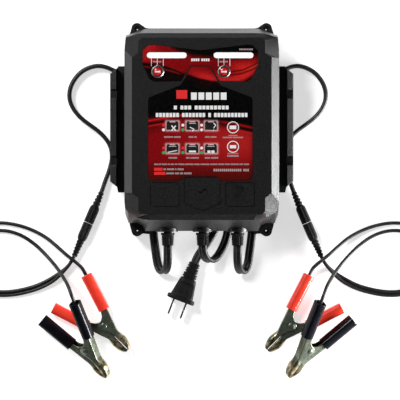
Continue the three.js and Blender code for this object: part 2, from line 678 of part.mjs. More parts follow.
function addClamps(side) {
  const mirror = side === 'left' ? 1 : -1;
  const place = ([x, y, z]) => (side === 'left' ? [x, y, z] : [2 * mirrorX - x, y, z]);
  const turn = ([x, y, z]) => [mirror * x, y, z];
  addClamp(`red_clamp_${side}`, 'grip_red', place([-95.1, -190.1, 6.4]), turn([0.707, -0.707, 0]),
    turn([0.707, 0.707, 0]));
  addClamp(`black_clamp_${side}`, 'grip_black', place([-111.4, -212.7, 14.5]), turn([0.588, -0.809, -0.2]),
    turn([0.809, 0.588, 0.72]));
}

addCase();
addElectronics();
addMainsCord();
for (const side of ['left', 'right']) {
  addLead(side);
  addClamps(side);
}

export default charger;
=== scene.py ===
"""The looks of a two-bank car battery charger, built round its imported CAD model.

Lengths are written in millimetres and turned into metres where a mesh or an object is made.
+Z points out of the front face, +Y to the top of the charger, and Z = 0 is the floor that it lies on.
"""
from math import asin, atan2, copysign, cos, exp, hypot, pi, radians, sin, sqrt

import bpy
import bmesh
import numpy as np
from mathutils import Matrix, Vector
from mathutils.geometry import delaunay_2d_cdt


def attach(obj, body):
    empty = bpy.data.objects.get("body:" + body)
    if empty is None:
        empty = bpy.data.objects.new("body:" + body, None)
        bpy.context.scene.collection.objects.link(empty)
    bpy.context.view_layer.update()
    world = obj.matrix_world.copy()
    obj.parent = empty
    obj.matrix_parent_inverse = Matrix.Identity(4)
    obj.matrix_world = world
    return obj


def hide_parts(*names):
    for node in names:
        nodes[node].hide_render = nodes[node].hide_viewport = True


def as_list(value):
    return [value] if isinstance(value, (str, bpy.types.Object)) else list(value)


MM = 0.001
TURN = 2 * pi
SIDES = ("left", "right")

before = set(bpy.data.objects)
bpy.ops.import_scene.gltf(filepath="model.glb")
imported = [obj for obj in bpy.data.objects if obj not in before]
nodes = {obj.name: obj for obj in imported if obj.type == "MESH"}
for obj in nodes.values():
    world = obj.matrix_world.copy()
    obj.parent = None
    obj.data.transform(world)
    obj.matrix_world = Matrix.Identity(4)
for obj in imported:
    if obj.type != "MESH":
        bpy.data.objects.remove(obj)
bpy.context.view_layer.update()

# Dimensions that the CAD model fixes.
FACE_Z = 54.0
LABEL_TOP = 53.7
LABEL_BOTTOM = 53.3
LABEL_MIDDLE = -1.3
GLAND_X = {"left": -32.8, "mains": 0.9, "right": 34.6}
GLAND_Z = 25.0
MIRROR_X = -4.0
CORD_WIDTH = 8.4
CORD_THICKNESS = 4.4
WIRE_DIAMETER = 3.5
BUTTONS = {"left": (-42.1, 54.4), "right": (21.2, 54.4)}
WINDOWS = {"left": (-33.4, 70.1), "right": (30.3, 70.1)}
WINDOW_SIZE = (37.6, 5.2)
POST_X = 62.6
POST_Y = 97.85
RAIL_TOP = 29.0
RAIL_INNER = 81.5
RAIL_OUTER = 88.3
RAIL_SLOPE = 2.8
PLUG_START = (-6.7, -129.3, 8.0)
PLUG_DIRECTION = (-0.362, -0.932)
CONNECTOR_START = (-98.4, -62.7, 5.2)
CONNECTOR_DIRECTION = (-0.393, -0.919)


# --- Camera and light ---

# The camera's place, the lights and the floor are in metres.
EYE = (-0.00166, -0.068, 2.5)
SENSOR = 36
LENS = 230.8
FLOOR_HALF = 4.0


def add_camera():
    camera = bpy.data.cameras.new("camera")
    camera.sensor_width = SENSOR
    camera.lens = LENS
    eye = bpy.data.objects.new("camera", camera)
    eye.location = EYE
    bpy.context.scene.collection.objects.link(eye)
    bpy.context.scene.camera = eye


def add_softbox(name, place, aim, size, power):
    light = bpy.data.lights.new(name, "AREA")
    light.shape = "RECTANGLE"
    light.size, light.size_y = size
    light.energy = power
    lamp = bpy.data.objects.new(name, light)
    lamp.location = place
    lamp.rotation_euler = (Vector(aim) - Vector(place)).to_track_quat("-Z", "Y").to_euler()
    bpy.context.scene.collection.objects.link(lamp)


def add_studio():
    world = bpy.data.worlds.new("studio")
    world.use_nodes = True
    bpy.context.scene.world = world
    background = world.node_tree.nodes["Background"]
    background.inputs["Color"].default_value = (1, 1, 1, 1)
    background.inputs["Strength"].default_value = 0.05
    add_softbox("key", (-1.0, 1.0, 1.5), (0, -0.05, 0), (0.45, 0.45), 27)
    add_softbox("right", (1.1, -0.4, 0.13), (0, -0.08, 0.03), (0.8, 0.2), 46)
    add_softbox("left", (-1.1, -0.1, 0.2), (0, -0.05, 0.03), (0.9, 0.3), 2)
    bpy.context.scene.view_settings.view_transform = "Standard"


def add_floor(material):
    mesh = bpy.data.meshes.new("floor")
    corners = [(x * FLOOR_HALF, y * FLOOR_HALF, 0) for x, y in ((-1, -1), (1, -1), (1, 1), (-1, 1))]
    mesh.from_pydata(corners, [], [(0, 1, 2, 3)])
    mesh.materials.append(material)
    floor = bpy.data.objects.new("floor", mesh)
    bpy.context.scene.collection.objects.link(floor)


# --- Materials ---

class Shader:
    """A node material under construction, with its Principled shader."""

    def __init__(self, name, **values):
        self.material = bpy.data.materials.new(name)
        self.material.use_nodes = True
        self.tree = self.material.node_tree
        self.principled = self.tree.nodes["Principled BSDF"]
        self.coordinates = self.node("ShaderNodeTexCoord").outputs["Object"]
        for key, value in values.items():
            self.principled.inputs[key.replace("_", " ")].default_value = value

    def node(self, kind, **settings):
        made = self.tree.nodes.new(kind)
        for key, value in settings.items():
            setattr(made, key, value)
        return made

    def link(self, output, target):
        self.tree.links.new(output, target)

    def noise(self, scale, detail=3.0, roughness=0.55, stretch=None):
        texture = self.node("ShaderNodeTexNoise")
        texture.inputs["Scale"].default_value = scale
        texture.inputs["Detail"].default_value = detail
        texture.inputs["Roughness"].default_value = roughness
        source = self.coordinates
        if stretch:
            mapping = self.node("ShaderNodeMapping")
            mapping.inputs["Scale"].default_value = stretch
            self.link(source, mapping.inputs["Vector"])
            source = mapping.outputs["Vector"]
        self.link(source, texture.inputs["Vector"])
        return texture.outputs["Fac"]

    def ramp(self, value, stops):
        ramp = self.node("ShaderNodeValToRGB")
        while len(ramp.color_ramp.elements) < len(stops):
            ramp.color_ramp.elements.new(0.5)
        for element, (place, color) in zip(ramp.color_ramp.elements, stops):
            element.position = place
            element.color = (*color, 1)
        self.link(value, ramp.inputs["Fac"])
        return ramp.outputs["Color"]

    def spread(self, value, low, high, source=(0.3, 0.7)):
        span = self.node("ShaderNodeMapRange")
        for key, number in zip(("From Min", "From Max", "To Min", "To Max"), (*source, low, high)):
            span.inputs[key].default_value = number
        self.link(value, span.inputs["Value"])
        return span.outputs["Result"]

    def bump(self, height, distance, strength=1.0, below=None):
        bump = self.node("ShaderNodeBump")
        bump.inputs["Strength"].default_value = strength
        bump.inputs["Distance"].default_value = distance
        self.link(height, bump.inputs["Height"])
        if below is not None:
            self.link(below, bump.inputs["Normal"])
        self.link(bump.outputs["Normal"], self.principled.inputs["Normal"])
        return bump.outputs["Normal"]

    def color(self, output):
        self.link(output, self.principled.inputs["Base Color"])

    def paint(self, noise, dark, light, places=(0.3, 0.7)):
        """A colour that wanders between two with a noise."""
        self.color(self.ramp(noise, list(zip(places, (dark, light)))))

    def gloss(self, noise, low, high):
        self.link(self.spread(noise, low, high), self.principled.inputs["Roughness"])


def moulded_plastic(name, dark, light, rough, grain, depth, specular=0.5):
    """Plastic or rubber with a mottled colour and a fine moulded grain."""
    shader = Shader(name, Specular_IOR_Level=specular)
    shader.paint(shader.noise(grain * 0.35, 4), dark, light, (0.35, 0.68))
    shader.gloss(shader.noise(grain * 0.6, 2), *rough)
    broad = shader.bump(shader.noise(grain, 2, 0.6), depth, 0.8)
    shader.bump(shader.noise(35, 2), 0.00012, 0.25, broad)
    return shader.material


def case_plastic():
    shader = Shader("case_plastic", Specular_IOR_Level=0.55)
    shader.paint(shader.noise(520, 4, 0.75), (0.0015, 0.0015, 0.002), (0.011, 0.011, 0.0125), (0.40, 0.64))
    shader.gloss(shader.noise(1300, 2, 0.7), 0.26, 0.46)
    grain = shader.bump(shader.noise(640, 4, 0.8), 0.0002, 0.9)
    shader.bump(shader.noise(28, 2), 0.0003, 0.12, grain)
    return shader.material


def plated_steel():
    """Yellow zinc plate: greenish grey, with painted highlights as gold, pink and green clouds where the
    mesh's painted-highlight attribute is high.
    """
    shader = Shader("plated_steel", Metallic=0.75)
    cloud = shader.noise(150, 4, 0.62)
    plain = shader.ramp(shader.noise(60, 3), [(0.3, (0.115, 0.135, 0.105)), (0.7, (0.20, 0.235, 0.18))])
    # Painted highlights: gold, pink and green clouds with dark edges, for light caught by the curved jaws.
    highlight_clouds = shader.ramp(cloud, [
        (0.30, (0.035, 0.04, 0.032)), (0.45, (0.09, 0.10, 0.06)), (0.53, (0.36, 0.29, 0.14)),
        (0.58, (0.62, 0.42, 0.32)), (0.63, (0.20, 0.26, 0.13)), (0.74, (0.05, 0.055, 0.045)),
    ])
    painted_highlight = shader.node("ShaderNodeVertexColor", layer_name="painted_highlight")
    mix = shader.node("ShaderNodeMix", data_type="RGBA")
    shader.link(painted_highlight.outputs["Color"], mix.inputs["Factor"])
    shader.link(plain, mix.inputs["A"])
    shader.link(highlight_clouds, mix.inputs["B"])
    shader.color(mix.outputs["Result"])
    shader.gloss(shader.noise(420, 3), 0.24, 0.42)
    shader.bump(shader.noise(200, 3), 0.0001, 0.4)
    return shader.material


def plain_metal(name, dark, light, rough, stretch=None):
    shader = Shader(name, Metallic=1.0)
    shader.paint(shader.noise(160, 3, stretch=stretch), dark, light)
    shader.gloss(shader.noise(500, 3, stretch=stretch), *rough)
    shader.bump(shader.noise(700, 2, stretch=stretch), 0.00004, 0.4)
    return shader.material


def dipped_pvc(name, dark, light, rough, coat=0.25, specular=0.5, glow=0.0):
    # glow is painted light: an emission that brightens the PVC though it is no lamp.
    shader = Shader(name, Coat_Weight=coat, Coat_Roughness=0.12, Specular_IOR_Level=specular,
                    Emission_Color=(*light, 1), Emission_Strength=glow)
    shader.paint(shader.noise(70, 3), dark, light, (0.35, 0.7))
    shader.gloss(shader.noise(300, 2), *rough)
    shader.bump(shader.noise(120, 3), 0.0002, 0.3)
    return shader.material


def printed_film():
    """Glossy film whose art is in the mesh's own color attribute."""
    shader = Shader("printed_film", Specular_IOR_Level=0.3)
    ink = shader.node("ShaderNodeVertexColor", layer_name="ink")
    mix = shader.node("ShaderNodeMix", data_type="RGBA", blend_type="MULTIPLY")
    mix.inputs["Factor"].default_value = 0.35
    shader.link(ink.outputs["Color"], mix.inputs["A"])
    screen = shader.ramp(shader.noise(700, 2), [(0.3, (0.7, 0.7, 0.7)), (0.7, (1, 1, 1))])
    shader.link(screen, mix.inputs["B"])
    shader.color(mix.outputs["Result"])
    shader.gloss(shader.noise(300, 2), 0.2, 0.3)
    shader.bump(shader.noise(45, 2), 0.00008, 0.25)
    return shader.material


def ink(name, color, glow=0.0):
    """A printed solid colour with a fine screen in it."""
    # glow is painted light: an emission that makes the ink brighter though it is no lamp.
    shader = Shader(name, Emission_Color=(*color, 1), Emission_Strength=glow)
    shader.paint(shader.noise(1500, 2), color, tuple(min(1.0, c * 1.08) for c in color))
    shader.gloss(shader.noise(400, 2), 0.35, 0.5)
    return shader.material


def white_floor():
    shader = Shader("floor", Roughness=0.9, Emission_Color=(1, 1, 1, 1), Emission_Strength=0.62)
    shader.paint(shader.noise(3, 2), (0.93, 0.93, 0.93), (0.96, 0.96, 0.96))
    return shader.material


def stacked_metal(name, dark, light, pitch, rough):
    """Thin layers along X, as laminations or turns of wire."""
    shader = Shader(name, Metallic=0.85)
    layers = shader.node("ShaderNodeTexWave", wave_type="BANDS", bands_direction="X")
    layers.inputs["Scale"].default_value = 0.31 / pitch
    layers.inputs["Distortion"].default_value = 0.6
    shader.link(shader.coordinates, layers.inputs["Vector"])
    shader.paint(layers.outputs["Fac"], dark, light, (0.1, 0.8))
    shader.gloss(shader.noise(400, 2), *rough)
    shader.bump(layers.outputs["Fac"], 0.00015, 0.8)
    return shader.material


def milky_window():
    # The emission is painted light: it makes the window read pure white.
    shader = Shader("led_window", Emission_Color=(1, 1, 1, 1), Emission_Strength=0.35)
    shader.paint(shader.noise(90, 2), (0.9, 0.9, 0.9), (0.96, 0.96, 0.96))
    shader.gloss(shader.noise(300, 2), 0.25, 0.35)
    shader.bump(shader.noise(60, 2), 0.00005, 0.3)
    return shader.material


CASE = case_plastic()
CORD = moulded_plastic("cord_pvc", (0.008, 0.008, 0.009), (0.016, 0.016, 0.017), (0.38, 0.5), 600, 0.00003)
MOULDED = moulded_plastic("moulded_pvc", (0.005, 0.005, 0.006), (0.012, 0.012, 0.013), (0.46, 0.62), 900,
                          0.00004, 0.22)
TIE = moulded_plastic("tie_strap", (0.006, 0.006, 0.007), (0.014, 0.014, 0.016), (0.6, 0.8), 1400, 0.0001)
STEEL = plated_steel()
SPRING_STEEL = plain_metal("spring_steel", (0.25, 0.25, 0.24), (0.45, 0.44, 0.42), (0.2, 0.35))
BLADES = plain_metal("blade_metal", (0.10, 0.10, 0.097), (0.26, 0.255, 0.25), (0.22, 0.4), (1, 1, 8))
CHROME = plain_metal("bezel_chrome", (0.30, 0.31, 0.30), (0.46, 0.47, 0.46), (0.3, 0.42))
# The red grips take a painted glow of 0.09, an emission that brightens their red.
RED_GRIP = dipped_pvc("grip_red", (0.88, 0.036, 0.018), (1.0, 0.058, 0.028), (0.28, 0.42), 0.25, 0.5, 0.09)
BLACK_GRIP = dipped_pvc("grip_black", (0.004, 0.0045, 0.0065), (0.009, 0.009, 0.015), (0.16, 0.26), 0, 0.16)
FILM = printed_film()
# Painted glow on the white, red, green and pale inks: small emissions that brighten the print.
WHITE_INK = ink("ink_white", (0.86, 0.86, 0.86), 0.12)
BLACK_INK = ink("ink_black", (0.004, 0.004, 0.004))
RED_INK = ink("ink_red", (0.78, 0.02, 0.02), 0.1)
GREEN_INK = ink("ink_green", (0.01, 0.42, 0.10), 0.1)
PALE_INK = ink("ink_pale", (0.42, 0.33, 0.33), 0.05)
BUTTON_RED = dipped_pvc("button_red", (0.60, 0.012, 0.016), (0.72, 0.022, 0.026), (0.18, 0.28))
WINDOW = milky_window()
BOARD = moulded_plastic("solder_mask", (0.010, 0.085, 0.035), (0.03, 0.17, 0.07), (0.3, 0.45), 500, 0.00003)
SLEEVE = moulded_plastic("capacitor_sleeve", (0.008, 0.008, 0.012), (0.02, 0.02, 0.028), (0.25, 0.35), 300,
                         0.00003)
CORE = stacked_metal("core_steel", (0.10, 0.10, 0.10), (0.28, 0.28, 0.29), 0.0005, (0.35, 0.5))
COPPER = stacked_metal("winding_copper", (0.32, 0.10, 0.03), (0.62, 0.25, 0.09), 0.0006, (0.25, 0.4))
ALUMINIUM = plain_metal("heat_sink", (0.5, 0.5, 0.52), (0.68, 0.68, 0.70), (0.3, 0.5), (1, 6, 1))


# --- Meshes ---

def add_piece(name, shape, body, material, replaces=(), sharp=35):
    """A mesh from (points in millimetres, faces), which rides on a body and takes the given material."""
    points, faces = shape
    mesh = bpy.data.meshes.new(name)
    places = [tuple(float(c) * MM for c in p) for p in points]
    mesh.from_pydata(places, [], [tuple(map(int, f)) for f in faces])
    welded = bmesh.new()
    welded.from_mesh(mesh)
    bmesh.ops.remove_doubles(welded, verts=welded.verts, dist=1e-6)
    bmesh.ops.recalc_face_normals(welded, faces=welded.faces)
    welded.to_mesh(mesh)
    welded.free()
    mesh.shade_smooth()
    mesh.set_sharp_from_angle(angle=radians(sharp))
    piece = bpy.data.objects.new(name, mesh)
    mesh.materials.append(material)
    bpy.context.scene.collection.objects.link(piece)
    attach(piece, body)
    if replaces:
        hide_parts(*replaces)
    return piece


def joined(*parts):
    """One (points, faces) from several."""
    points, faces = [], []
    for some_points, some_faces in parts:
        faces.extend([tuple(i + len(points) for i in face) for face in some_faces])
        points.extend(some_points)
    return points, faces


def skin(rings, close_start=True, close_end=True, closed=True):
    """Faces between rings of equally many points."""
    count = len(rings[0])
    points = [p for ring in rings for p in ring]
    faces = []
    for level in range(len(rings) - 1):
        for i in range(count if closed else count - 1):
            j = (i + 1) % count
            a, b = level * count, (level + 1) * count
            faces.append((a + i, a + j, b + j, b + i))
    if close_start:
        faces.append(tuple(reversed(range(count))))
    if close_end:
        faces.append(tuple(range((len(rings) - 1) * count, len(rings) * count)))
    return points, faces


def ease(value, low, high):
    """0 below low, 1 above high and smooth between. With low above high it falls instead."""
    t = np.clip((value - low) / (high - low), 0, 1)
    return t * t * (3 - 2 * t)


def catmull_rom(points, density=12):
    """Points along a centripetal Catmull-Rom curve through the given ones."""
    p = np.array(points, float)
    p = np.vstack([2 * p[0] - p[1], p, 2 * p[-1] - p[-2]])
    out = [p[1]]
    for a, b, c, d in zip(p[:-3], p[1:-2], p[2:-1], p[3:]):
        knots = [0.0]
        for start, end in ((a, b), (b, c), (c, d)):
            knots.append(knots[-1] + max(np.linalg.norm(end - start), 1e-6) ** 0.5)
        t0, t1, t2, t3 = knots
        for t in np.linspace(t1, t2, density + 1)[1:]:
            a1 = (t1 - t) / (t1 - t0) * a + (t - t0) / (t1 - t0) * b
            a2 = (t2 - t) / (t2 - t1) * b + (t - t1) / (t2 - t1) * c
            a3 = (t3 - t) / (t3 - t2) * c + (t - t2) / (t3 - t2) * d
            b1 = (t2 - t) / (t2 - t0) * a1 + (t - t0) / (t2 - t0) * a2
            b2 = (t3 - t) / (t3 - t1) * a2 + (t - t1) / (t3 - t1) * a3
            out.append((t2 - t) / (t2 - t1) * b1 + (t - t1) / (t2 - t1) * b2)
    return np.array(out)


def along(line):
    return np.concatenate([[0], np.cumsum(np.linalg.norm(np.diff(line, axis=0), axis=1))])


def even(line, step):
    """The line again, with points a step apart."""
    at = along(line)
    where = np.linspace(0, at[-1], max(2, round(at[-1] / step) + 1))
    return np.stack([np.interp(where, at, line[:, k]) for k in range(line.shape[1])], axis=1)


def sweep(line, section, wide):
    """A section swept along a line. wide is the direction of the section's first axis at each point."""
    tangent = np.gradient(line, axis=0)
    tangent /= np.linalg.norm(tangent, axis=1)[:, None]
    first = wide - (wide * tangent).sum(1)[:, None] * tangent
    first /= np.linalg.norm(first, axis=1)[:, None]
    second = np.cross(tangent, first)
    return skin([[p + a * f + b * s for a, b in section] for p, f, s in zip(line, first, second)])


# --- Cords ---

def twin_section(width, thickness, web):
    """The outline of two cores side by side, with a groove between them."""
    radius = thickness / 2
    offset = width / 2 - radius
    start = asin(web / radius)
    angles = np.linspace(pi - start, start - pi, 9)
    right = [(offset + radius * cos(a), radius * sin(a)) for a in angles]
    left = [(-x, -y) for x, y in right]
    return right + left


def circle(radius, sides=14):
    return [(radius * cos(a), radius * sin(a)) for a in np.linspace(0, TURN, sides, False)]


FLAT_CORD = twin_section(CORD_WIDTH, CORD_THICKNESS, 1.35)
LEVEL = (1, 0, 0)
UPRIGHT = (0, 0, 1)
OUTER_TURN = 18.8
INNER_TURN = 14.1
LOW_LAYER = 4.65
HIGH_LAYER = 13.05
TIE_HALF_WIDTH = 4.85
TIE_LOW = 0.35
TIE_HIGH = 17.3

GLAND_LOOP = [
    (-32.8, -108, 25), (-32.8, -112.4, 25), (-32.8, -117, 24.9), (-32.8, -122.6, 23), (-33.2, -130, 18.6),
    (-34.6, -135.7, 12.6), (-37.4, -138, 7.2), (-40.8, -135.7, 3.8), (-43.3, -128.4, 2.5),
    (-44.9, -117.7, 2.3), (-46.3, -107, 2.3), (-47.5, -96.2, 2.3), (-49.5, -86, 2.7), (-53.3, -76, 3.9),
    (-57.8, -67.6, 4.5),
]
SIDE_LOOP_START = {
    "left": [(-68.6, 49.6, 6.8), (-75.6, 53.9, 4.8), (-85.4, 57.9, 4.3), (-92.2, 60.9, 4.3)],
    "right": [(68.6, 48.4, 6.8), (75, 54, 5.0), (83.2, 60, 4.3)],
}
SIDE_LOOP = [
    (-100, 62.4, 4.3), (-108.7, 60.9, 4.3), (-117.5, 56.1, 4.3), (-124.3, 48.3, 4.3), (-128.2, 39.1, 4.3),
    (-128.4, 29.8, 4.3), (-124.8, 20.6, 4.3), (-118, 12.3, 4.3), (-109.7, 5.7, 4.3), (-100.9, -0.8, 4.3),
    (-93.6, -8.1, 4.3), (-88.8, -16.4, 4.3), (-87.3, -26.1, 4.3), (-89.3, -36.9, 4.3), (-93.6, -49, 4.5),
    (-98.3, -62.4, 5.2), (-101.5, -69.9, 5.2),
]
MAINS_GLAND_LOOP = [
    (0.9, -108, 25), (0.9, -112.4, 25), (0.9, -115.4, 24.9), (1.5, -118.8, 23.7), (3, -122.7, 20.6),
    (5.5, -125.7, 16.5), (9.3, -126.8, 12), (13.4, -124.6, 7.8), (17, -120.2, 4.8), (20.5, -113.8, 3.1),
    (23.2, -107, 2.5), (25, -99.8, 2.4), (25.4, -90, 3.3), (24, -80, 4.1), (22.3, -71.5, 4.6),
]
MAINS_TAIL = [
    (-5.4, -73.6, 11.8), (4.6, -76.4, 10.4), (11.6, -81.4, 9.2), (14.2, -89, 8.2), (12.4, -97.2, 8),
    (8.8, -103.9, 8), (4.2, -110.8, 8), (-1.1, -118.3, 8), (-4.9, -124.7, 8), (-6.6, -129, 8),
    (-8, -132.6, 8),
]


def mirrored(points):
    return [(2 * MIRROR_X - x, y, z) for x, y, z in points]


def hank_turns(middle, straight, flip, end, radius_at, height_at):
    """Points round a hank: u counts a straight run, a fold, a straight run and a fold, 0 to 4 each turn."""
    points = []
    for u in np.arange(0, end + 0.01, 0.125):
        radius, height = radius_at(u), height_at(u)
        phase, part = u % 4, u % 1
        if phase < 1:
            x, y = -radius, straight * (part - 0.5)
        elif phase < 2:
            x, y = -radius * cos(pi * part), straight / 2 + radius * sin(pi * part)
        elif phase < 3:
            x, y = radius, straight * (0.5 - part)
        else:
            x, y = radius * cos(pi * part), -straight / 2 - radius * sin(pi * part)
        points.append((middle[0] + flip * x, middle[1] + y, height))
    return points


def lead_hank(side):
    flip = 1 if side == "left" else -1

    def radius_at(u):
        inward = ease(u, 3.5, 4.0) - ease(u, 10.1, 10.9)
        return OUTER_TURN + (INNER_TURN - OUTER_TURN) * inward

    def height_at(u):
        return LOW_LAYER + (HIGH_LAYER - LOW_LAYER) * ease(u, 7.0, 7.6)

    return hank_turns((-44.5 * flip, 0), 95, flip, 12.75, radius_at, height_at)


def mains_hank():
    def radius_at(u):
        inward = ease(u, 3.72, 4.0) - ease(u, 11.0, 11.38)
        return OUTER_TURN + (INNER_TURN - OUTER_TURN) * inward + 4.6 * ease(u, 15.0, 15.4)

    def height_at(u):
        return LOW_LAYER + (HIGH_LAYER - LOW_LAYER) * ease(u, 7.3, 7.8)

    return hank_turns((0, 6), 110, -1, 15.4, radius_at, height_at)


def flat_cord(name, stretches, body, replaces):
    """A flat cord along stretches of points, each with the direction of its wide side. Returns its line."""
    points = [p for stretch, _ in stretches for p in stretch]
    sides = [side for stretch, side in stretches for _ in stretch]
    route = catmull_rom(np.hstack([np.array(points, float), np.array(sides, float)]), 8)
    line = even(route, 2.2)
    shape = sweep(line[:, :3], FLAT_CORD, line[:, 3:])
    cord = add_piece(name, shape, body, CORD, replaces, sharp=50)
    return cord, line[:, :3]


def lead_route(side):
    loop, outside = GLAND_LOOP, SIDE_LOOP
    if side == "right":
        loop, outside = mirrored(GLAND_LOOP), mirrored(SIDE_LOOP)
    shift = GLAND_X[side] - loop[0][0]
    loop = [(x + shift, y, z) for x, y, z in loop]
    return [
        (loop[:-2], LEVEL), (loop[-2:-1], (0.8, 0, 0.6)), (loop[-1:], (0.35, 0, 0.93)),
        (lead_hank(side), UPRIGHT), (SIDE_LOOP_START[side], UPRIGHT), (outside, UPRIGHT),
    ]


def mains_route():
    return [
        (MAINS_GLAND_LOOP[:-3], LEVEL), (MAINS_GLAND_LOOP[-3:-2], (0.9, 0, 0.4)),
        (MAINS_GLAND_LOOP[-2:-1], (0.6, 0, 0.8)), (MAINS_GLAND_LOOP[-1:], (0.2, 0, 0.98)),
        (mains_hank(), UPRIGHT), (MAINS_TAIL[:2], UPRIGHT), (MAINS_TAIL[2:4], (0.5, -0.3, 0.8)),
        (MAINS_TAIL[4:], (0.85, -0.3, 0.3)),
    ]


def tie_band(name, x, y):
    """A strap round one run of a hank: a thin rounded band with a folded-over end."""
    w, low, high = TIE_HALF_WIDTH, TIE_LOW, TIE_HIGH
    centre = (low + high) / 2
    tall = (high - low) / 2
    rings = []
    for offset, grow in ((-4, 0.1), (-3.9, 0.35), (3.9, 0.35), (4, 0.1), (4, 0), (-4, 0)):
        ring = superellipse(w + grow, tall + grow, 6, 40)
        rings.append([(x + across, y + offset, centre + up) for across, up in ring])
    band = skin([*rings, rings[0]], False, False)
    tab = box_solid((x - w * 0.75, y - 3.6, high + 0.3), (x + w * 0.2, y + 3.6, high + 0.55))
    return add_piece(name, joined(band, tab), "charger", TIE)


def box_solid(low, high):
    (x0, y0, z0), (x1, y1, z1) = low, high
    rings = [[(x0, y0, z), (x1, y0, z), (x1, y1, z), (x0, y1, z)] for z in (z0, z1)]
    return skin(rings)


# --- Pieces turned or swept along an axis ---

def axis_frame(start, direction):
    """A matrix from local axes (along, across, up) to the row frame, in millimetres."""
    forward = Vector((*direction[:2], 0)).normalized()
    across = Vector((-forward.y, forward.x, 0))
    up = forward.cross(across)
    rotation = Matrix((forward, across, up)).transposed()
    return Matrix.Translation(start) @ rotation.to_4x4()


def placed(matrix, shape):
    points, faces = shape
    return [tuple(matrix @ Vector(p)) for p in points], faces


def superellipse(half_width, half_height, power, sides):
    ring = []
    for c, s in circle(1, sides):
        size = (abs(c) ** power + abs(s) ** power) ** (-1 / power)
        ring.append((half_width * c * size, half_height * s * size))
    return ring


def loft_along(stations, sides, shape_at=None, power=2.6, step=0.5):
    """Rounded sections along X through stations of (along, half width, half height)."""
    table = np.array(stations, float)
    rings = []
    places = np.concatenate([table[:, 0], np.arange(table[0, 0], table[-1, 0], step)])
    for x in sorted(set(np.round(places, 3))):
        w, h = (np.interp(x, table[:, 0], table[:, k]) for k in (1, 2))
        ring = []
        for across, up in superellipse(w, h, power, sides):
            if shape_at:
                across, up = shape_at(x, across, up, w, h)
            ring.append((x, across, up))
        rings.append(ring)
    return skin(rings)


def strain_relief(name, x):
    """A collar and a tapered sleeve with five rows of moulded blocks, which the flat cord leaves."""
    def blocks(along_axis, across, up, w, h):
        row = (along_axis - 3.6) / 1.6
        if not 0 <= row <= 5:
            return across, up
        column = atan2(up / h, across / w) / TURN * 8 + 0.5
        between_rows = exp(-(((row + 0.5) % 1 - 0.5) / 0.17) ** 2)
        between_columns = exp(-(((column + 0.5) % 1 - 0.5) / 0.09) ** 2)
        shrink = 1 - 0.75 * max(between_rows, 0.9 * between_columns) / max(w, h)
        return across * shrink, up * shrink

    stations = [
        (-4, 3.9, 3.9), (-0.4, 3.9, 3.9), (-0.35, 6.3, 6.3), (-0.1, 6.6, 6.6), (1.6, 6.6, 6.5),
        (2.0, 6.2, 6.1), (2.2, 5.7, 5.5), (3.2, 5.7, 5.4), (3.6, 6.1, 5.7), (7.5, 5.9, 5.3),
        (11.6, 5.6, 4.9), (11.9, 5.4, 4.7), (12.0, 4.7, 3.4),
    ]
    shape = placed(axis_frame((x, -100, GLAND_Z), (0, -1)), loft_along(stations, 96, blocks, 2.8, 0.2))
    return add_piece(f"{name}_sleeve", shape, "charger", MOULDED, [name], sharp=60)


def plug():
    """The moulded plug: three ringed segments, a flared body with a raised rim, and a flange."""
    def rim(along_axis, across, up, w, h):
        if up > 0 and 20 < along_axis < 34.5:
            inset = ease(along_axis, 20.6, 21.8) * ease(along_axis, 34.2, 33.2)
            up -= 0.55 * inset * ease(abs(across) / w, 0.84, 0.72)
        return across, up

    segment = ((0, -0.5, -0.4), (0.3, 0, 0), (1.9, 0.1, 0), (2.1, -0.7, -0.6), (2.5, -0.7, -0.6),
               (2.7, 0.2, 0.1), (4.2, 0.3, 0.1), (4.4, -0.9, -0.8), (5.1, -0.9, -0.8))
    stations = [(0, 4.6, 3.4)]
    for start, w, h in ((0.3, 5.5, 4.2), (5.6, 6.1, 4.7), (10.9, 6.8, 5.2)):
        stations += [(start + s, w + wider, h + taller) for s, wider, taller in segment]
    stations += [
        (16.3, 6.9, 5.0), (16.7, 7.7, 5.6), (19.5, 8.5, 5.9), (26, 9.7, 6.2), (34.4, 11.2, 6.4),
        (35.2, 11.4, 6.4), (35.4, 12.9, 7.1), (35.9, 13.6, 7.5), (36.8, 13.8, 7.6), (38.4, 13.8, 7.6),
        (39.2, 13.5, 7.4), (39.5, 12.9, 7.0),
    ]
    matrix = axis_frame(PLUG_START, PLUG_DIRECTION)
    shape = placed(matrix, loft_along(stations, 72, rim, 3.4, 0.4))
    pieces = [add_piece("plug_moulding", shape, "charger", MOULDED, ["plug_body"], sharp=50)]
    tip = [(53.6, -3.17), (54.9, -2.2), (55.4, -0.9)]
    outline = [(39.0, -3.17), *tip, *((x, -y) for x, y in reversed(tip)), (39.0, 3.17)]
    for name, y in (("plug_blade_left", -6.35), ("plug_blade_right", 6.35)):
        points, faces = plate(outline, [round_outline(51.2, 0, 1.55, 16)], y - 0.9, y + 0.9)
        shape = placed(matrix, ([(px, pz, py) for px, py, pz in points], faces))
        blade = add_piece(f"{name}_contact", shape, "charger", BLADES, [name])
        round_edges(blade, 0.22, 2, 40)
        pieces.append(blade)
    return pieces


def round_edges(piece, width, segments, angle=30):
    bevel = piece.modifiers.new("edge", "BEVEL")
    bevel.width = width * MM
    bevel.segments = segments
    bevel.angle_limit = radians(angle)


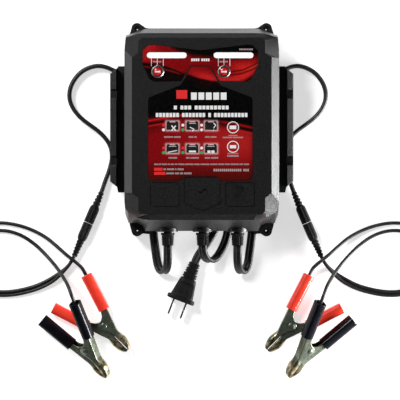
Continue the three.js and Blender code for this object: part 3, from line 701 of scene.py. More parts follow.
def triangulated(outline, holes=(), spacing=None):
    """Points and triangles inside an outline, without the holes, with a grid of inner points if asked."""
    loops = [outline, *holes]
    points = [Vector(p) for loop in loops for p in loop]
    edges, start = [], 0
    for loop in loops:
        edges += [(start + i, start + (i + 1) % len(loop)) for i in range(len(loop))]
        start += len(loop)
    if spacing:
        columns, rows = (np.arange(min(v), max(v), spacing) for v in zip(*outline))
        grid = [(x, y) for x in columns for y in rows if contains(outline, x, y)]
        points += [Vector((x + 0.13 * spacing, y + 0.07 * spacing)) for x, y in grid]
    found, _, faces, *_ = delaunay_2d_cdt(points, edges, [], 1, 1e-5)
    kept = []
    for face in faces:
        x = sum(found[i][0] for i in face) / 3
        y = sum(found[i][1] for i in face) / 3
        if contains(outline, x, y) and not any(contains(hole, x, y) for hole in holes):
            kept.append(tuple(face))
    return [tuple(p) for p in found], kept


def contains(loop, x, y):
    inside = False
    for (x0, y0), (x1, y1) in zip(loop, [*loop[1:], loop[0]]):
        if (y0 > y) != (y1 > y) and x < (x1 - x0) * (y - y0) / (y1 - y0) + x0:
            inside = not inside
    return inside


def plate(outline, holes, low, high, spacing=None):
    """A flat plate with holes, from low to high along Z."""
    flat, triangles = triangulated(outline, holes, spacing)
    count = len(flat)
    points = [(x, y, high) for x, y in flat] + [(x, y, low) for x, y in flat]
    faces = list(triangles) + [tuple(i + count for i in reversed(t)) for t in triangles]
    uses = {}
    for t in triangles:
        for a, b in zip(t, (*t[1:], t[0])):
            uses[(a, b)] = uses.get((a, b), 0) + 1
    for a, b in uses:
        if (b, a) not in uses:
            faces.append((b, a, a + count, b + count))
    return points, faces


def connector(kind, side, body):
    """Half of a two-pole quick connector: a ribbed relief, then a ridged shell."""
    start, direction = [CONNECTOR_START], CONNECTOR_DIRECTION
    if side == "right":
        start, direction = mirrored(start), (-direction[0], direction[1])

    def ridges(along_axis, across, up, w, h):
        if w > 4.2:
            depth = 0.45 * (0.5 + 0.5 * cos(across / w * pi * 3.1)) ** 3
            up += copysign(depth, up) - copysign(0.45, up)
        return across, up

    if kind == "socket":
        stations = [(-2.2, 2.1, 4.2)]
        for k in range(4):
            s, w = -2 + k * 3.5, 2.7 + 0.28 * k
            stations += [(s, w - 0.3, 4.3), (s + 0.4, w, 4.5), (s + 1.9, w + 0.15, 4.6),
                         (s + 2.2, w - 0.5, 4.1), (s + 3.2, w - 0.5, 4.1)]
        stations += [(12.4, 3.6, 4.5), (13.6, 4.3, 4.7), (14.6, 4.7, 4.8), (17, 4.8, 4.9), (29.2, 4.8, 4.9),
                     (29.9, 4.6, 4.7)]
    else:
        stations = [(30.4, 4.3, 4.5), (30.8, 4.75, 4.8), (32.5, 4.8, 4.9), (44, 4.7, 4.8), (46.6, 4.3, 4.4),
                    (48, 3.7, 3.9)]
        for k in range(5):
            s, w = 48.6 + k * 3.3, 3.6 - 0.2 * k
            stations += [(s, w - 0.5, w - 0.4), (s + 0.9, w - 0.5, w - 0.4), (s + 1.2, w, w + 0.15),
                         (s + 2.7, w - 0.05, w + 0.1)]
        stations += [(65.0, 2.5, 2.5), (65.4, 2.2, 2.3)]
    shape = placed(axis_frame(start[0], direction), loft_along(stations, 48, ridges, 3.0, 0.5))
    return add_piece(f"connector_{kind}_{side}_shell", shape, body, MOULDED,
                     [f"connector_{kind}_{side}"], sharp=50)


# --- Clamps ---
# Drawn with the pivot at the origin, the jaws along +X, the fixed half towards +Y and the rivet along Z.

JAW_STATIONS = [
    ((33.35, 0.9), (32.9, 0.3)), ((33.2, 2.2), (32.6, 0.3)), ((31.9, 3.7), (31.4, 0.3)),
    ((28.3, 5.5), (28, 0.3)), ((24.3, 6.7), (24.2, 0.3)), ((20.8, 6.85), (20.8, 0.3)),
    ((16.5, 6.3), (16.5, 0.2)), ((12.6, 6.15), (12.2, 0)), ((9.2, 7.2), (8.6, -0.9)),
    ((6, 8.4), (6, -1.9)), ((3, 9.4), (3.5, -3.5)), ((0, 10.4), (0, -4.9)), ((-3.3, 11.6), (-3.5, -3.5)),
    ((-5.4, 12.4), (-4.9, 0)), ((-8, 13.3), (-7.1, 4.2)), ((-12, 14.6), (-12, 7.6)),
    ((-27, 19.35), (-28.3, 12.9)), ((-42.2, 24.2), (-44.2, 18.2)),
]
SHEET = 1.05
HANDLE_START = (-10.7, 11.2)
HANDLE_TURN = radians(17.5)


def clamp_frame(color, side):
    """A matrix from a clamp's own axes to the row frame."""
    pivot, along_jaw, to_fixed = {
        "red": ((-95.1, -190.1, 6.4), (0.707, -0.707, 0), (0.707, 0.707, 0)),
        "black": ((-111.4, -212.7, 14.5), (0.588, -0.809, -0.2), (0.809, 0.588, 0.72)),
    }[color]
    if side == "right":
        pivot = mirrored([pivot])[0]
        along_jaw, to_fixed = ((-x, y, z) for x, y, z in (along_jaw, to_fixed))
    along_jaw, to_fixed = Vector(along_jaw).normalized(), Vector(to_fixed)
    to_fixed = (to_fixed - to_fixed.dot(along_jaw) * along_jaw).normalized()
    rotation = Matrix((along_jaw, to_fixed, along_jaw.cross(to_fixed))).transposed()
    return Matrix.Translation(pivot) @ rotation.to_4x4()


def jaw_half(half_thickness):
    """A bent sheet with a round back, side plates, a round ear at the pivot and a toothed nose."""
    outer = catmull_rom([(*o, 0) for o, _ in JAW_STATIONS], 10)[:, :2]
    inner = catmull_rom([(*i, 0) for _, i in JAW_STATIONS], 10)[:, :2]
    rings = []
    for back, edge in zip(outer, inner):
        depth = np.linalg.norm(back - edge)
        inward = (edge - back) / depth
        nose = ease(back[0], 22, 33.4)
        spoon = ease(back[0], 12, 18)
        half = half_thickness * (1 - 0.14 * nose)
        bulge = 0.5 * spoon * ease(back[0], 33, 26)
        corner = min(0.8 + 1.3 * spoon, half * 0.85, depth * 0.6)
        tooth = 0.0
        if 14 < edge[0] < 33:
            tooth = 0.5 * abs(((edge[0] - 14) / 1.9) % 1 - 0.5) * 2
        ring = []
        for t in np.linspace(1, 0, 7):
            reach = corner + (depth - corner - tooth * 0.9) * t
            swell = bulge * sin(pi * min(1.0, reach / depth))
            ring.append((*(back + inward * reach), -half - swell))
        for a in np.linspace(0, pi / 2, 6)[1:]:
            ring.append((*(back + inward * corner * (1 - sin(a))), -half + corner * (1 - cos(a))))
        crown = 0.2 + 0.4 * spoon
        for z in np.linspace(-1, 1, 5)[1:-1]:
            lift = crown * (1 - z * z)
            ring.append((*(back - inward * lift), z * (half - corner)))
        ring += [(x, y, -z) for x, y, z in reversed(ring[:12])]
        rings.append(ring)
    return skin(rings, False, False, False)


def turned_over(shape):
    points, faces = shape
    return [(x, -y, -z) for x, y, z in points], faces


def add_jaw(name, matrix, body, half_thickness, moving):
    shape = jaw_half(half_thickness)
    if moving:
        shape = turned_over(shape)
    piece = add_piece(f"{name}_sheet", placed(matrix, shape), body, STEEL, [name], sharp=50)
    add_painted_highlight(piece, matrix, half_thickness)
    sheet = piece.modifiers.new("sheet", "SOLIDIFY")
    sheet.thickness = SHEET * MM
    sheet.offset = -1
    outward_is_outside(piece, matrix)
    return piece


def add_painted_highlight(piece, matrix, half_thickness):
    """How much painted highlight the plating shows at each point: most in the spoon of the jaw and along the
    bent back.
    """
    back = matrix.inverted()
    painted_highlight = piece.data.color_attributes.new("painted_highlight", "FLOAT_COLOR", "POINT")
    for vertex, value in zip(piece.data.vertices, painted_highlight.data):
        x, y, z = back @ (vertex.co / MM)
        # Painted highlight in the dished spoon of the jaw.
        spoon = float(ease(x, 13, 20))
        # Painted highlight along the bent back of the sheet.
        bend = hump(abs(z) - half_thickness + 0.6, 0.5) * 0.5
        amount = min(1.0, 0.9 * spoon + bend * (abs(y) > 5))
        value.color = (amount, amount, amount, 1)


def outward_is_outside(piece, matrix):
    """Turn the faces so that they look away from the channel that the sheet is bent round."""
    middle = matrix @ Vector((0, 0, 0))
    shape = bmesh.new()
    shape.from_mesh(piece.data)
    axis = (matrix.to_3x3() @ Vector((0, 0, 1))).normalized()
    score = 0.0
    for face in shape.faces:
        offset = face.calc_center_median() / MM - middle
        score += face.normal.dot(axis) * offset.dot(axis) * face.calc_area()
    if score < 0:
        bmesh.ops.reverse_faces(shape, faces=shape.faces)
    shape.to_mesh(piece.data)
    shape.free()


def handle_point(s, across=0.0, up=0.0):
    """A point along a handle, in the clamp's own axes."""
    c, d = cos(HANDLE_TURN), sin(HANDLE_TURN)
    return (HANDLE_START[0] - c * s + d * across, HANDLE_START[1] + d * s + c * across, up)


def add_grip(name, matrix, body, material, moving):
    """A dipped sleeve with soft corners, open at both ends."""
    profile = [(0.5, 0.87), (0, 0.95), (0.05, 0.99), (0.5, 1), (8, 1), (20, 0.995), (32, 1), (37.1, 1.015),
               (37.75, 1.01), (38, 0.96), (37.9, 0.87), (37.2, 0.8), (33, 0.78), (29, 0.76)]
    rings = []
    for s, size in profile:
        rings.append([handle_point(s, a, z) for a, z in superellipse(5.55 * size, 6.05 * size, 2.7, 40)])
    shape = skin(rings, False, True)
    if moving:
        shape = turned_over(shape)
    return add_piece(f"{name}_sleeve", placed(matrix, shape), body, material, [name], sharp=60)


def add_rivet(name, matrix, body):
    half = [(0, 5.9), (1.2, 5.88), (2.3, 5.65), (2.95, 5.3), (3.1, 5.1), (2.9, 5.05), (2.0, 5.05)]
    outline = half + [(r, -z) for r, z in reversed(half)]
    shape = placed(matrix, lathe(outline, 28))
    return add_piece(f"{name}_headed", shape, body, STEEL, [name], sharp=40)


def add_spring(name, matrix, body):
    """A coil of three turns round the rivet, with a leg along the fixed handle."""
    radius, wire = 3.25, 0.62
    start, leg, sweep_angle = radians(56), radians(146), 3.1 * TURN
    turns = [(radius * cos(a), radius * sin(a), 1.75 - 3.5 * a / sweep_angle)
             for a in np.linspace(start, start + sweep_angle, 90)]
    reach = [(radius * cos(start) + t * cos(leg), radius * sin(start) + t * sin(leg), 1.75)
             for t in (12.5, 9, 5, 2)]
    line = even(catmull_rom(reach + turns, 4), 0.5)
    wide = np.tile(np.array([0.05, 0.02, 1.0]), (len(line), 1))
    shape = placed(matrix, sweep(line, circle(wire, 10), wide))
    return add_piece(f"{name}_coil", shape, body, SPRING_STEEL, [name], sharp=60)


def add_clamp(color, side):
    """The six pieces of one clamp, and the places where its wire enters and ends."""
    name = f"{color}_clamp_{side}"
    matrix = clamp_frame(color, side)
    harness, jaw = f"harness_{side}", f"{color}_jaw_{side}"
    grip = RED_GRIP if color == "red" else BLACK_GRIP
    pieces = [
        add_jaw(f"{name}_fixed_jaw", matrix, harness, 5.0, False),
        add_jaw(f"{name}_moving_jaw", matrix, jaw, 3.7, True),
        add_grip(f"{name}_fixed_grip", matrix, harness, grip, False),
        add_grip(f"{name}_moving_grip", matrix, jaw, grip, True),
        add_rivet(f"{name}_rivet", matrix, harness),
        add_spring(f"{name}_spring", matrix, harness),
    ]
    inside = [tuple(matrix @ Vector(handle_point(s, -0.4))) for s in (38, 30, 22, 14, 6, -1)]
    return pieces, inside


# --- Harness wires ---

HARNESS_ROUTE = [
    (-124.9, -124.3, 4.9), (-129.2, -131.2, 4.3), (-137, -139.1, 3.6), (-147.7, -146.9, 3.0),
    (-160.4, -153, 2.4), (-175, -157.1, 2.1), (-188.7, -159.1, 1.95), (-201.4, -158.6, 1.9),
    (-213.1, -154.7, 1.9),
]
RED_WIRE_ROUTE = [
    (-225.7, -145.5, 1.9), (-234, -130.4, 1.9), (-233.5, -113.8, 1.9), (-223.8, -99.2, 1.9),
    (-209.2, -91.9, 1.9), (-194.6, -90.4, 1.9), (-180, -92.4, 1.9), (-165.3, -97.2, 2.2),
    (-151.6, -104.5, 4), (-139.8, -113.9, 7.2), (-131.8, -120.9, 9.4), (-124.6, -126.6, 10.2),
    (-119.2, -131.2, 8.2), (-116, -134.6, 6.8),
]
BLACK_WIRE_ROUTE = [
    (-222.8, -143, 1.9), (-228.7, -128.4, 1.9), (-226.2, -113.3, 1.9), (-216, -102.6, 1.9),
    (-202.4, -98.2, 1.9), (-188.7, -98.4, 1.9), (-175.1, -102.9, 2), (-162.4, -111.3, 2.6),
    (-153.5, -119.5, 4.8), (-145.5, -127.9, 9.8), (-138.5, -136, 18), (-132.4, -144.3, 28),
    (-128.4, -150.8, 35.4), (-124.9, -159.7, 39.2),
]


def harness_wire(color, side, inside):
    """One core of the harness: beside the other as far as the split, then on its own into its clamp."""
    offset, split = (1.72, RED_WIRE_ROUTE) if color == "red" else (-1.72, BLACK_WIRE_ROUTE)
    line = even(catmull_rom([(-123.6, -121.6, 5.1), *HARNESS_ROUTE], 10), 3.0)
    turn = ease(along(line), 6, 48)[:, None]
    level = np.cross(np.gradient(line, axis=0), [0, 0, 1.0])
    level /= np.linalg.norm(level, axis=1)[:, None]
    aside = (1 - turn) * np.array([0, 0, 1.0]) - turn * level
    aside /= np.linalg.norm(aside, axis=1)[:, None]
    route = [tuple(p) for p in line + offset * aside] + split
    if side == "right":
        route = mirrored(route)
    smooth = even(catmull_rom(route + inside, 6), 1.8)
    wide = np.tile(np.array([0.31, 0.17, 0.93]), (len(smooth), 1))
    shape = sweep(smooth, circle(WIRE_DIAMETER / 2), wide)
    replaces = [f"harness_cord_{side}"] if color == "red" else []
    wire = add_piece(f"{color}_wire_{side}", shape, f"harness_{side}", CORD, replaces, sharp=60)
    return wire, smooth


# --- Labels ---

STATUS_HALF = [
    (0, 74.6), (44, 79.9), (49.5, 79.6), (55, 74.6), (55, 61.4), (48.3, 47.2), (43.9, 45), (18.6, 45.6),
    (9.3, 60.4), (0, 60.4),
]
INSTRUCTION_HALF = [
    (0, 59.3), (8.7, 59.3), (15.9, 46.1), (19.2, 41.2), (48.8, 29.7), (49.7, 26.8), (49.7, -46.7),
    (46.8, -49.5), (20, -49.7), (17.5, -47.9), (15.4, -45.5), (0, -45.5),
]
ICON_SIZE = (11.4, 8.1)
ICON_PLACES = [(x, y) for y in (2.8, -19.1) for x in (-27.9, -8.9, 8.8)]
BUTTON_HOLE = 5.5
WINDOW_GAP = 0.4


def linear(red, green, blue):
    return tuple((c / 255) ** 2.2 for c in (red, green, blue))


def blended(first, second, amount):
    amount = float(np.clip(amount, 0, 1))
    return tuple(a + (b - a) * amount for a, b in zip(first, second))


def layered(color, *layers):
    """Each layer's tone laid over what is below it, by its amount."""
    for tone, amount in layers:
        color = blended(color, tone, amount)
    return color


def curve(x, *points):
    """The height at x of a line through points."""
    return float(np.interp(x, [p[0] for p in points], [p[1] for p in points]))


def hump(distance, width):
    return exp(-((distance / width) ** 2))


def status_art(x, y):
    """Red cloth that falls into black, with a fold at the left and two at the right."""
    hem = curve(x, (-56, 62.9), (-48, 62.3), (-36, 60.4), (-30, 58), (-19, 53.6), (-13, 51.8), (-3.5, 48.4),
                (7.5, 46), (19, 44.6), (30, 43), (56, 43))
    top = curve(x, (-56, 96), (-38, 86), (-24, 76), (-8, 71), (20, 68), (38, 69), (56, 72))
    cloth = layered(
        (140, 14, 20),
        ((208, 40, 40), hump(y - hem - 2.5, 5) * ease(x, -20, 5)),
        ((184, 28, 34), ease(x, -36, -50) * ease(y, 62, 68)),
        ((214, 40, 38), ease(x, 20, 40) * ease(y, 68, 58)),
        ((4, 2, 3), ease(y, top - 5, top + 3)),
    )
    streak = curve(x, (-56, 59.4), (-38, 57.5), (-19, 52))
    shade = blended((22, 0, 1), (160, 34, 26), 0.8 * hump(y - streak, 0.9) * ease(x, -16, -24))
    fold = curve(x, (22, 53.2), (28, 54.3), (39, 56), (47, 59.3), (56, 64))
    folds = max(hump(y - fold, 0.75), hump(y - fold + 3.1, 0.75)) * ease(x, 22, 30)
    corner = ease(y - 45 - 0.55 * max(0.0, x - 40), 3.5, -1) * ease(x, 34, 42)
    return layered(
        shade,
        (cloth, ease(y, hem - 0.8, hem + 0.8)),
        ((56, 2, 2), 0.85 * folds),
        ((244, 92, 62), 0.6 * hump(y - fold + 1.6, 0.8) * ease(x, 38, 50)),
        ((60, 4, 3), corner),
    )


def instruction_art(x, y):
    """The tail of the cloth, black, then a red field with streaks and a white glow round each icon."""
    if y > 45.5:
        return status_art(x, y)
    black = blended((3, 3, 4), (30, 0, 1), ease(y, 36, 44) * ease(x, 44, 18) * ease(x, -12, 0))
    field = layered(
        (138, 14, 21),
        ((186, 37, 37), hump(x - 36, 48) * hump(y + 12, 22)),
        ((84, 20, 14), ease(y, -26, -51)),
        ((70, 5, 9), 0.6 * ease(x, -30, -51) * ease(y, -8, 4)),
    )
    top = curve(x, (-51, 14), (-20, 15), (0, 12), (17, 8), (49, 0))
    rising = y - curve(x, (-51, 7.6), (-20, 12.9), (-5, 13.6))
    falling = y - curve(x, (14, 7.4), (30, 5), (49, 0.8))
    color = layered(
        black,
        (field, ease(y, top + 1.5, top - 9)),
        ((216, 34, 38), ease(x, -6, -20) * hump(rising, 1.1)),
        ((10, 0, 1), 0.9 * ease(x, -18, -30) * hump(rising + 3.2, 0.9)),
        ((205, 32, 36), ease(x, -26, -36) * hump(rising + 5.2, 0.8)),
        ((172, 22, 26), ease(x, 12, 22) * hump(falling, 1.3)),
        ((8, 0, 1), 0.95 * ease(x, 24, 36) * hump(falling + 3.1, 1.0)),
        ((196, 36, 36), ease(x, 20, 32) * hump(falling + 5.8, 1.5)),
    )
    for cx, cy in ICON_PLACES:
        beyond = hypot(max(0.0, abs(x - cx) - ICON_SIZE[0] / 2), max(0.0, abs(y - cy) - ICON_SIZE[1] / 2))
        color = blended(color, (255, 236, 236), 0.8 * hump(beyond, 1.5))
    return color


def whole_outline(half):
    other = [(-x, y) for x, y in reversed(half[1:-1])]
    return [(x + LABEL_MIDDLE, y) for x, y in [*half, *other]]


def round_outline(x, y, radius, sides=24):
    return [(x + a, y + b) for a, b in circle(radius, sides)]


def stadium_outline(x, y, width, height, grow=0.0):
    radius = height / 2 + grow
    half = (width - height) / 2
    bend = np.linspace(-pi / 2, pi / 2, 13)
    ends = ((x + half, bend), (x - half, bend + pi))
    return [(cx + radius * cos(a), y + radius * sin(a)) for cx, angles in ends for a in angles]


def label_film(name, half, art, holes):
    shape = plate(whole_outline(half), holes, LABEL_BOTTOM, LABEL_TOP, 0.8)
    film = add_piece(f"{name}_film", shape, "charger", FILM, [name])
    colors = film.data.color_attributes.new("ink", "FLOAT_COLOR", "POINT")
    for vertex, color in zip(film.data.vertices, colors.data):
        color.color = (*linear(*art(vertex.co.x / MM, vertex.co.y / MM)), 1)
    return film


def bar(x, y, width, height):
    w, h = width / 2, height / 2
    return [(x - w, y - h), (x + w, y - h), (x + w, y + h), (x - w, y + h)]


def slanted(x0, y0, x1, y1, thick):
    """A bar from one point to another."""
    dy, dx = Vector((x1 - x0, y1 - y0)).normalized() * thick / 2
    return [(x0 + dx, y0 - dy), (x1 + dx, y1 - dy), (x1 - dx, y1 + dy), (x0 - dx, y0 + dy)]


def bars(x0, x1, y, height, lengths):
    """A row of short plain blocks, in groups, where the real film has a line of print."""
    gap = 0.22
    unit = (x1 - x0) / (sum(lengths) + 0.7 * (len(lengths) - 1))
    out, x = [], x0
    for count in lengths:
        for _ in range(count):
            out.append(bar(x + unit / 2, y, unit * (1 - gap), height))
            x += unit
        x += 0.7 * unit
    return out


def add_print(name, outlines, material, low=LABEL_TOP, high=LABEL_TOP + 0.04):
    """Flat shapes on the film. An outline with a hole is given as a pair."""
    shapes = []
    for outline in outlines:
        holes = []
        if isinstance(outline[0][0], (list, tuple)):
            outline, *holes = outline
        shapes.append(plate(outline, holes, low, high))
    return add_piece(name, joined(*shapes), "charger", material)


def battery_icon(x, y):
    w, h = ICON_SIZE
    poles = [bar(x + side * w * 0.34, y + h / 2 - 0.3, 2.3, 1.2) for side in (-1, 1)]
    return [bar(x, y - 0.35, w, h - 0.9), *poles]


def icon_marks():
    """Small white signs on the icons: a cross, slashes, a bolt and levels."""
    lines = (
        (0, (-1.0, -4.6), (3.2, 0.2), 1.1), (0, (-1.0, 0.2), (3.2, -4.6), 1.1),
        (1, (-2.5, -1.2), (1.6, -3.4), 0.8), (1, (1.6, -3.4), (-0.2, -5.2), 0.8),
        (2, (2.5, 2.6), (4.6, 0.6), 0.9), (2, (4.6, 0.6), (2.4, -2.4), 0.8),
        (3, (-4.6, -3.4), (4.4, -1.6), 0.8), (1, (-3.2, 2.2), (3.4, 2.2), 0.35),
        *((icon, (-3.6, 2.2), (3.6, 2.2), 0.35) for icon in (3, 4, 5)),
    )
    blocks = ((4, 0, -2.6, 6.6, 1.7), (5, -1.9, -2.8, 2.9, 2.3), (5, 1.9, -2.8, 2.9, 2.3))
    marks = []
    for icon, start, end, thick in lines:
        x, y = ICON_PLACES[icon]
        marks.append(slanted(x + start[0], y + start[1], x + end[0], y + end[1], thick))
    for icon, dx, dy, width, height in blocks:
        marks.append(bar(ICON_PLACES[icon][0] + dx, ICON_PLACES[icon][1] + dy, width, height))
    marks.append(round_outline(ICON_PLACES[2][0] + 2.2, ICON_PLACES[2][1] - 4.4, 0.6, 12))
    return marks


def add_labels():
    holes = [round_outline(*BUTTONS[side], BUTTON_HOLE) for side in SIDES]
    holes += [stadium_outline(*WINDOWS[side], *WINDOW_SIZE, WINDOW_GAP) for side in SIDES]
    label_film("status_label", STATUS_HALF, status_art, holes)
    label_film("instruction_label", INSTRUCTION_HALF, instruction_art, [])
    white, pale, red, green, black = ([] for _ in range(5))
    for x in (-48.0, -36.7, 15.8, 26.8):
        white.append(bar(x, 63.6, 0.5, 7.8))
    for x in (-42.4, 21.2):
        white.append(bar(x, 64.2, 0.5, 6.6))
        pale += bars(x - 4.4, x + 3.8, 64.0, 1.3, (3, 2))
    for line in ((-10.3, 7.6, 65.7, 2.5, (4, 4)), (-11, 24.4, 31.1, 6.9, (5,)),
                 (-27, 26, 20.2, 3.6, (1, 3, 9)), (-44.2, 43.9, 13.1, 3.9, (7, 7, 1, 10))):
        white += bars(*line)
    for line in ((35.6, 48.8, 75.7, 1.5, (9,)), (25.5, 34, -6.5, 1.0, (7,)), (20, 39.4, -8.3, 1.3, (9, 10)),
                 (24.5, 35, -23.6, 0.8, (11,)), (24.2, 35.2, -25.9, 1.7, (9,)),
                 (11, 45.2, -39.5, 2.4, (14, 3)), (-36, -20, -7.9, 1.5, (9, 7)),
                 (-45.4, 45.2, -33.9, 1.35, (4, 3, 6, 2, 4, 3, 7, 9, 6, 10, 8, 7, 5, 9, 4, 6)),
                 (-12.5, -4.8, -7.9, 1.5, (4, 2)), (3, 14, -7.9, 1.5, (4, 5)),
                 (-31.8, -23.4, -27.8, 1.5, (8,)), (-15, -2.7, -27.8, 1.5, (3, 7)),
                 (2.8, 15.8, -27.8, 1.5, (5, 7))):
        pale += bars(*line)
    red.append(bar(-19, 32.7, 10.4, 8.2))
    for y, x1, tag, lengths in ((-38.7, -17.2, 8.1, (2, 6, 1, 5)), (-42.6, -9.6, 10.9, (7, 4, 3, 7))):
        red.append(bar(-45.5 + tag / 2, y, tag, 2.9))
        pale += bars(-45.5 + tag + 0.8, x1, y, 1.7, lengths)
    for x, y in ICON_PLACES:
        black += battery_icon(x, y)
    for x, y, upper, lower in ((-36.5, 3.4, red, white), (-18.0, 3.4, white, green),
                               (-0.1, 3.4, white, white), (-36.5, -18.4, red, green),
                               (-18.0, -18.4, red, green), (-0.1, -18.4, white, green)):
        upper.append(round_outline(x, y, 1.4, 18))
        lower.append(round_outline(x, y - 4.45, 1.4, 18))
    for y, width, height in ((1.3, 6.4, 3.4), (-17.2, 6.0, 3.0)):
        white.append((round_outline(29.8, y, 5.7, 40), round_outline(29.8, y, 4.9, 40)))
        white.append(bar(29.8, y, width, height))
    inks = {"white": (white, WHITE_INK), "pale": (pale, PALE_INK), "red": (red, RED_INK),
            "green": (green, GREEN_INK), "black": (black, BLACK_INK)}
    for name, (outlines, material) in inks.items():
        add_print(f"print_{name}", outlines, material)
    add_print("print_signs", icon_marks(), WHITE_INK, LABEL_TOP + 0.04, LABEL_TOP + 0.08)


# --- Buttons, windows and moulded signs ---

def lathe(profile, sides=48):
    """Points (radius, height) turned round Z."""
    return skin([[(x, y, z) for x, y in circle(max(r, 0.01), sides)] for r, z in profile])


def moved(shape, x, y):
    points, faces = shape
    return [(px + x, py + y, z) for px, py, z in points], faces


def add_button(side):
    """A domed red button with a white bar, in a fixed chrome ring with a small peak at the top."""
    x, y = BUTTONS[side]
    body = f"mode_button_{side}"
    dome = [(4.3 * cos(a), 53.6 + 1.65 * sin(a)) for a in np.linspace(0, pi / 2, 10)[:-1]]
    profile = [(1.5, 38), (1.5, 49.9), (5.2, 49.9), (5.2, 51.1), (4.3, 51.1), *dome, (0.01, 55.25)]
    add_piece(f"{body}_dome", moved(lathe(profile), x, y), body, BUTTON_RED, [body])
    points, faces = plate(bar(x, y, 5.2, 1.5), [], 0, 0.35, 0.5)
    on_dome = []
    for px, py, pz in points:
        height = 53.55 + 1.65 * sqrt(max(0, 1 - ((px - x) ** 2 + (py - y) ** 2) / 4.3**2))
        on_dome.append((px, py, min(pz + height, 55.29)))
    add_piece(f"{body}_bar", (on_dome, faces), body, WHITE_INK)
    ring = [(4.72, 53.72), (4.72, 54.35), (4.95, 54.8), (5.3, 54.95), (5.75, 54.75), (6.05, 54.3),
            (6.12, 53.72)]
    sides = 72
    points, faces = lathe(ring, sides)
    last = (len(ring) - 1) * sides
    faces = faces[:-2] + [(last + i, last + (i + 1) % sides, (i + 1) % sides, i) for i in range(sides)]
    peaked = []
    for px, py, pz in points:
        at_top = hump(atan2(py, px) - pi / 2, 0.3)
        grow = 1 + 0.10 * at_top * ease(hypot(px, py), 4.9, 5.7)
        peaked.append((px * grow + x, py * grow + y, pz))
    add_piece(f"bezel_{side}", (peaked, faces), "charger", CHROME, sharp=70)


def stroke(points, thick):
    """Bars along a line of points, with round joints."""
    out = [slanted(*a, *b, thick) for a, b in zip(points, points[1:])]
    return out + [round_outline(*p, thick / 2, 12) for p in points]


def add_moulded_signs():
    """A one, a two and a wave on the three tags, each with an arrow that points to its cord."""
    one = stroke([(-36.6, -57.8), (-34.9, -56.4), (-34.9, -63.2)], 0.9)
    two = stroke([(33.4, -57.3), (34.4, -55.6), (36.6, -54.9), (38.8, -55.7), (39.4, -57.6), (38.6, -59.6),
                  (33.4, -64.0), (39.6, -64.0)], 1.25)
    wave = stroke([(0.9 + t, -59.6 + 1.7 * sin(t * pi / 4.2)) for t in np.linspace(-4.2, 4.2, 15)], 0.9)
    for name, x, outlines, height, width, tip in (
        ("one", -34.8, one, 0.12, 6.5, -68.6), ("two", 36.4, two, 0.35, 8.6, -69.4),
        ("wave", 0.9, wave, 0.12, 6.5, -68.6),
    ):
        arrow = [(x - width / 2, -66.0), (x, tip), (x + width / 2, -66.0)]
        add_print(f"sign_{name}", [*outlines, arrow], MOULDED, FACE_Z - 0.2, FACE_Z + height)


# --- The making of the charger ---

def add_back_screws():
    head = lathe([(3.1, 18.05), (3.1, 17.6), (2.7, 17.25), (1.6, 17.1), (0.01, 17.1)], 32)
    for height, x, y in (("lower", 50, 2), ("upper", 48, 78)):
        for side, flip in (("left", -1), ("right", 1)):
            add_piece(f"back_screw_{height}_{side}", moved(head, flip * x, y), "charger",
                      SPRING_STEEL)


def add_hole_shade_rings():
    """A soft black ring inside each screw post, as painted shade: it keeps the deep hole dark where the
    bright floor would show through.
    """
    ring = [(0.7, 3.5), (0.7, 2.5), (2.36, 2.5), (2.36, 17.0), (2.25, 17.4), (1.95, 17.4), (1.85, 17.0),
            (1.85, 3.5)]
    points, faces = lathe([*ring, ring[0]], 32)
    for end, y in (("top", POST_Y), ("bottom", -POST_Y)):
        for side, x in (("left", -POST_X), ("right", POST_X)):
            add_piece(f"hole_shade_ring_{end}_{side}", moved((points, faces[:-2]), x, y), "charger",
                      MOULDED)


def add_rail_caps():
    """The tops of the cord rails: three stretches on each, which slope down towards the outside."""
    inner, outer = RAIL_INNER + 0.7, RAIL_OUTER - 0.5
    stretches = {"lower": (-54.4, -49.9, -34.4, -34.4), "middle": (-25.6, -25.6, 29.8, 29.8),
                 "upper": (38.6, 38.6, 53.0, 58.0)}
    for side, flip in (("left", -1), ("right", 1)):
        for name, ends in stretches.items():
            corners = list(zip((inner, outer, outer, inner), ends, (RAIL_SLOPE, 0.5, 0.5, RAIL_SLOPE)))
            low = [(flip * x, y, RAIL_TOP - 0.3) for x, y, _ in corners]
            high = [(flip * x, y, RAIL_TOP + rise) for x, y, rise in corners]
            cap = add_piece(f"rail_cap_{side}_{name}", skin([low, high]), "charger", CASE)
            round_edges(cap, 0.4, 3)
            cap.modifiers.new("even", "WEIGHTED_NORMAL").keep_sharp = False


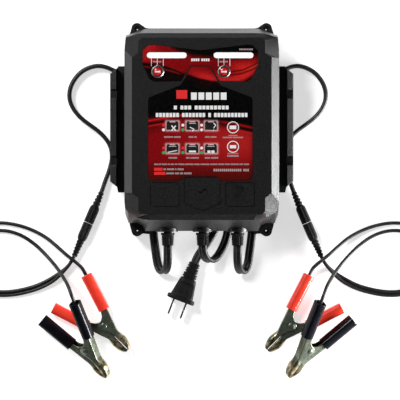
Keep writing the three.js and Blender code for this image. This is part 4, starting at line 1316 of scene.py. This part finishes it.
def add_ties():
    for name, middle, y in (("left", -44.5, -8), ("right", 36.5, -8), ("mains", 0, 4)):
        for run, x in (("outer", middle - 16.45), ("inner", middle + 16.45)):
            tie_band(f"tie_{name}_{run}", x, y)


def soften(node, width, material):
    """A material, and rounded edges that keep the flat faces flat."""
    node.data.materials.clear()
    node.data.materials.append(material)
    node.modifiers.new("weld", "WELD").merge_threshold = 0.00001
    flat = node.modifiers.new("flat", "DECIMATE")
    flat.decimate_type = "DISSOLVE"
    flat.angle_limit = radians(1.2)
    round_edges(node, width, 3, 28)
    node.modifiers.new("even", "WEIGHTED_NORMAL").keep_sharp = False


def finish_nodes():
    for name, width, material in (
        ("front_cover", 0.7, CASE), ("rear_cover", 0.5, CASE), ("cord_rail_left", 1.4, CASE),
        ("cord_rail_right", 1.4, CASE), ("led_window_left", 0.2, WINDOW), ("led_window_right", 0.2, WINDOW),
        ("circuit_board", 0.12, BOARD), ("transformer_core", 0.3, CORE), ("transformer_winding", 0.9, COPPER),
        ("heat_sink", 0.2, ALUMINIUM), ("filter_capacitor", 0.5, SLEEVE),
    ):
        soften(nodes[name], width, material)


mains_cord, mains_line = flat_cord("mains_cord", mains_route(), "charger",
                                   ["mains_cord_gland_loop", "mains_cord_hank", "mains_cord_tail"])
for side in SIDES:
    flat_cord(f"lead_cord_{side}", lead_route(side), "charger",
                            [f"lead_{side}_gland_loop", f"lead_{side}_hank", f"lead_{side}_side_loop"])
reliefs = {key: strain_relief(f"strain_relief_{key}", x) for key, x in GLAND_X.items()}
plug_pieces = plug()
sockets = {side: connector("socket", side, "charger") for side in SIDES}
for side in SIDES:
    connector("plug", side, f"harness_{side}")

for side in SIDES:
    for color in ("red", "black"):
        clamp_pieces, inside = add_clamp(color, side)
        wire, route = harness_wire(color, side, inside)
        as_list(clamp_pieces)

add_labels()
for side in SIDES:
    add_button(side)
add_moulded_signs()
add_back_screws()
add_hole_shade_rings()
add_rail_caps()
add_ties()
finish_nodes()
add_camera()
add_studio()
add_floor(white_floor())
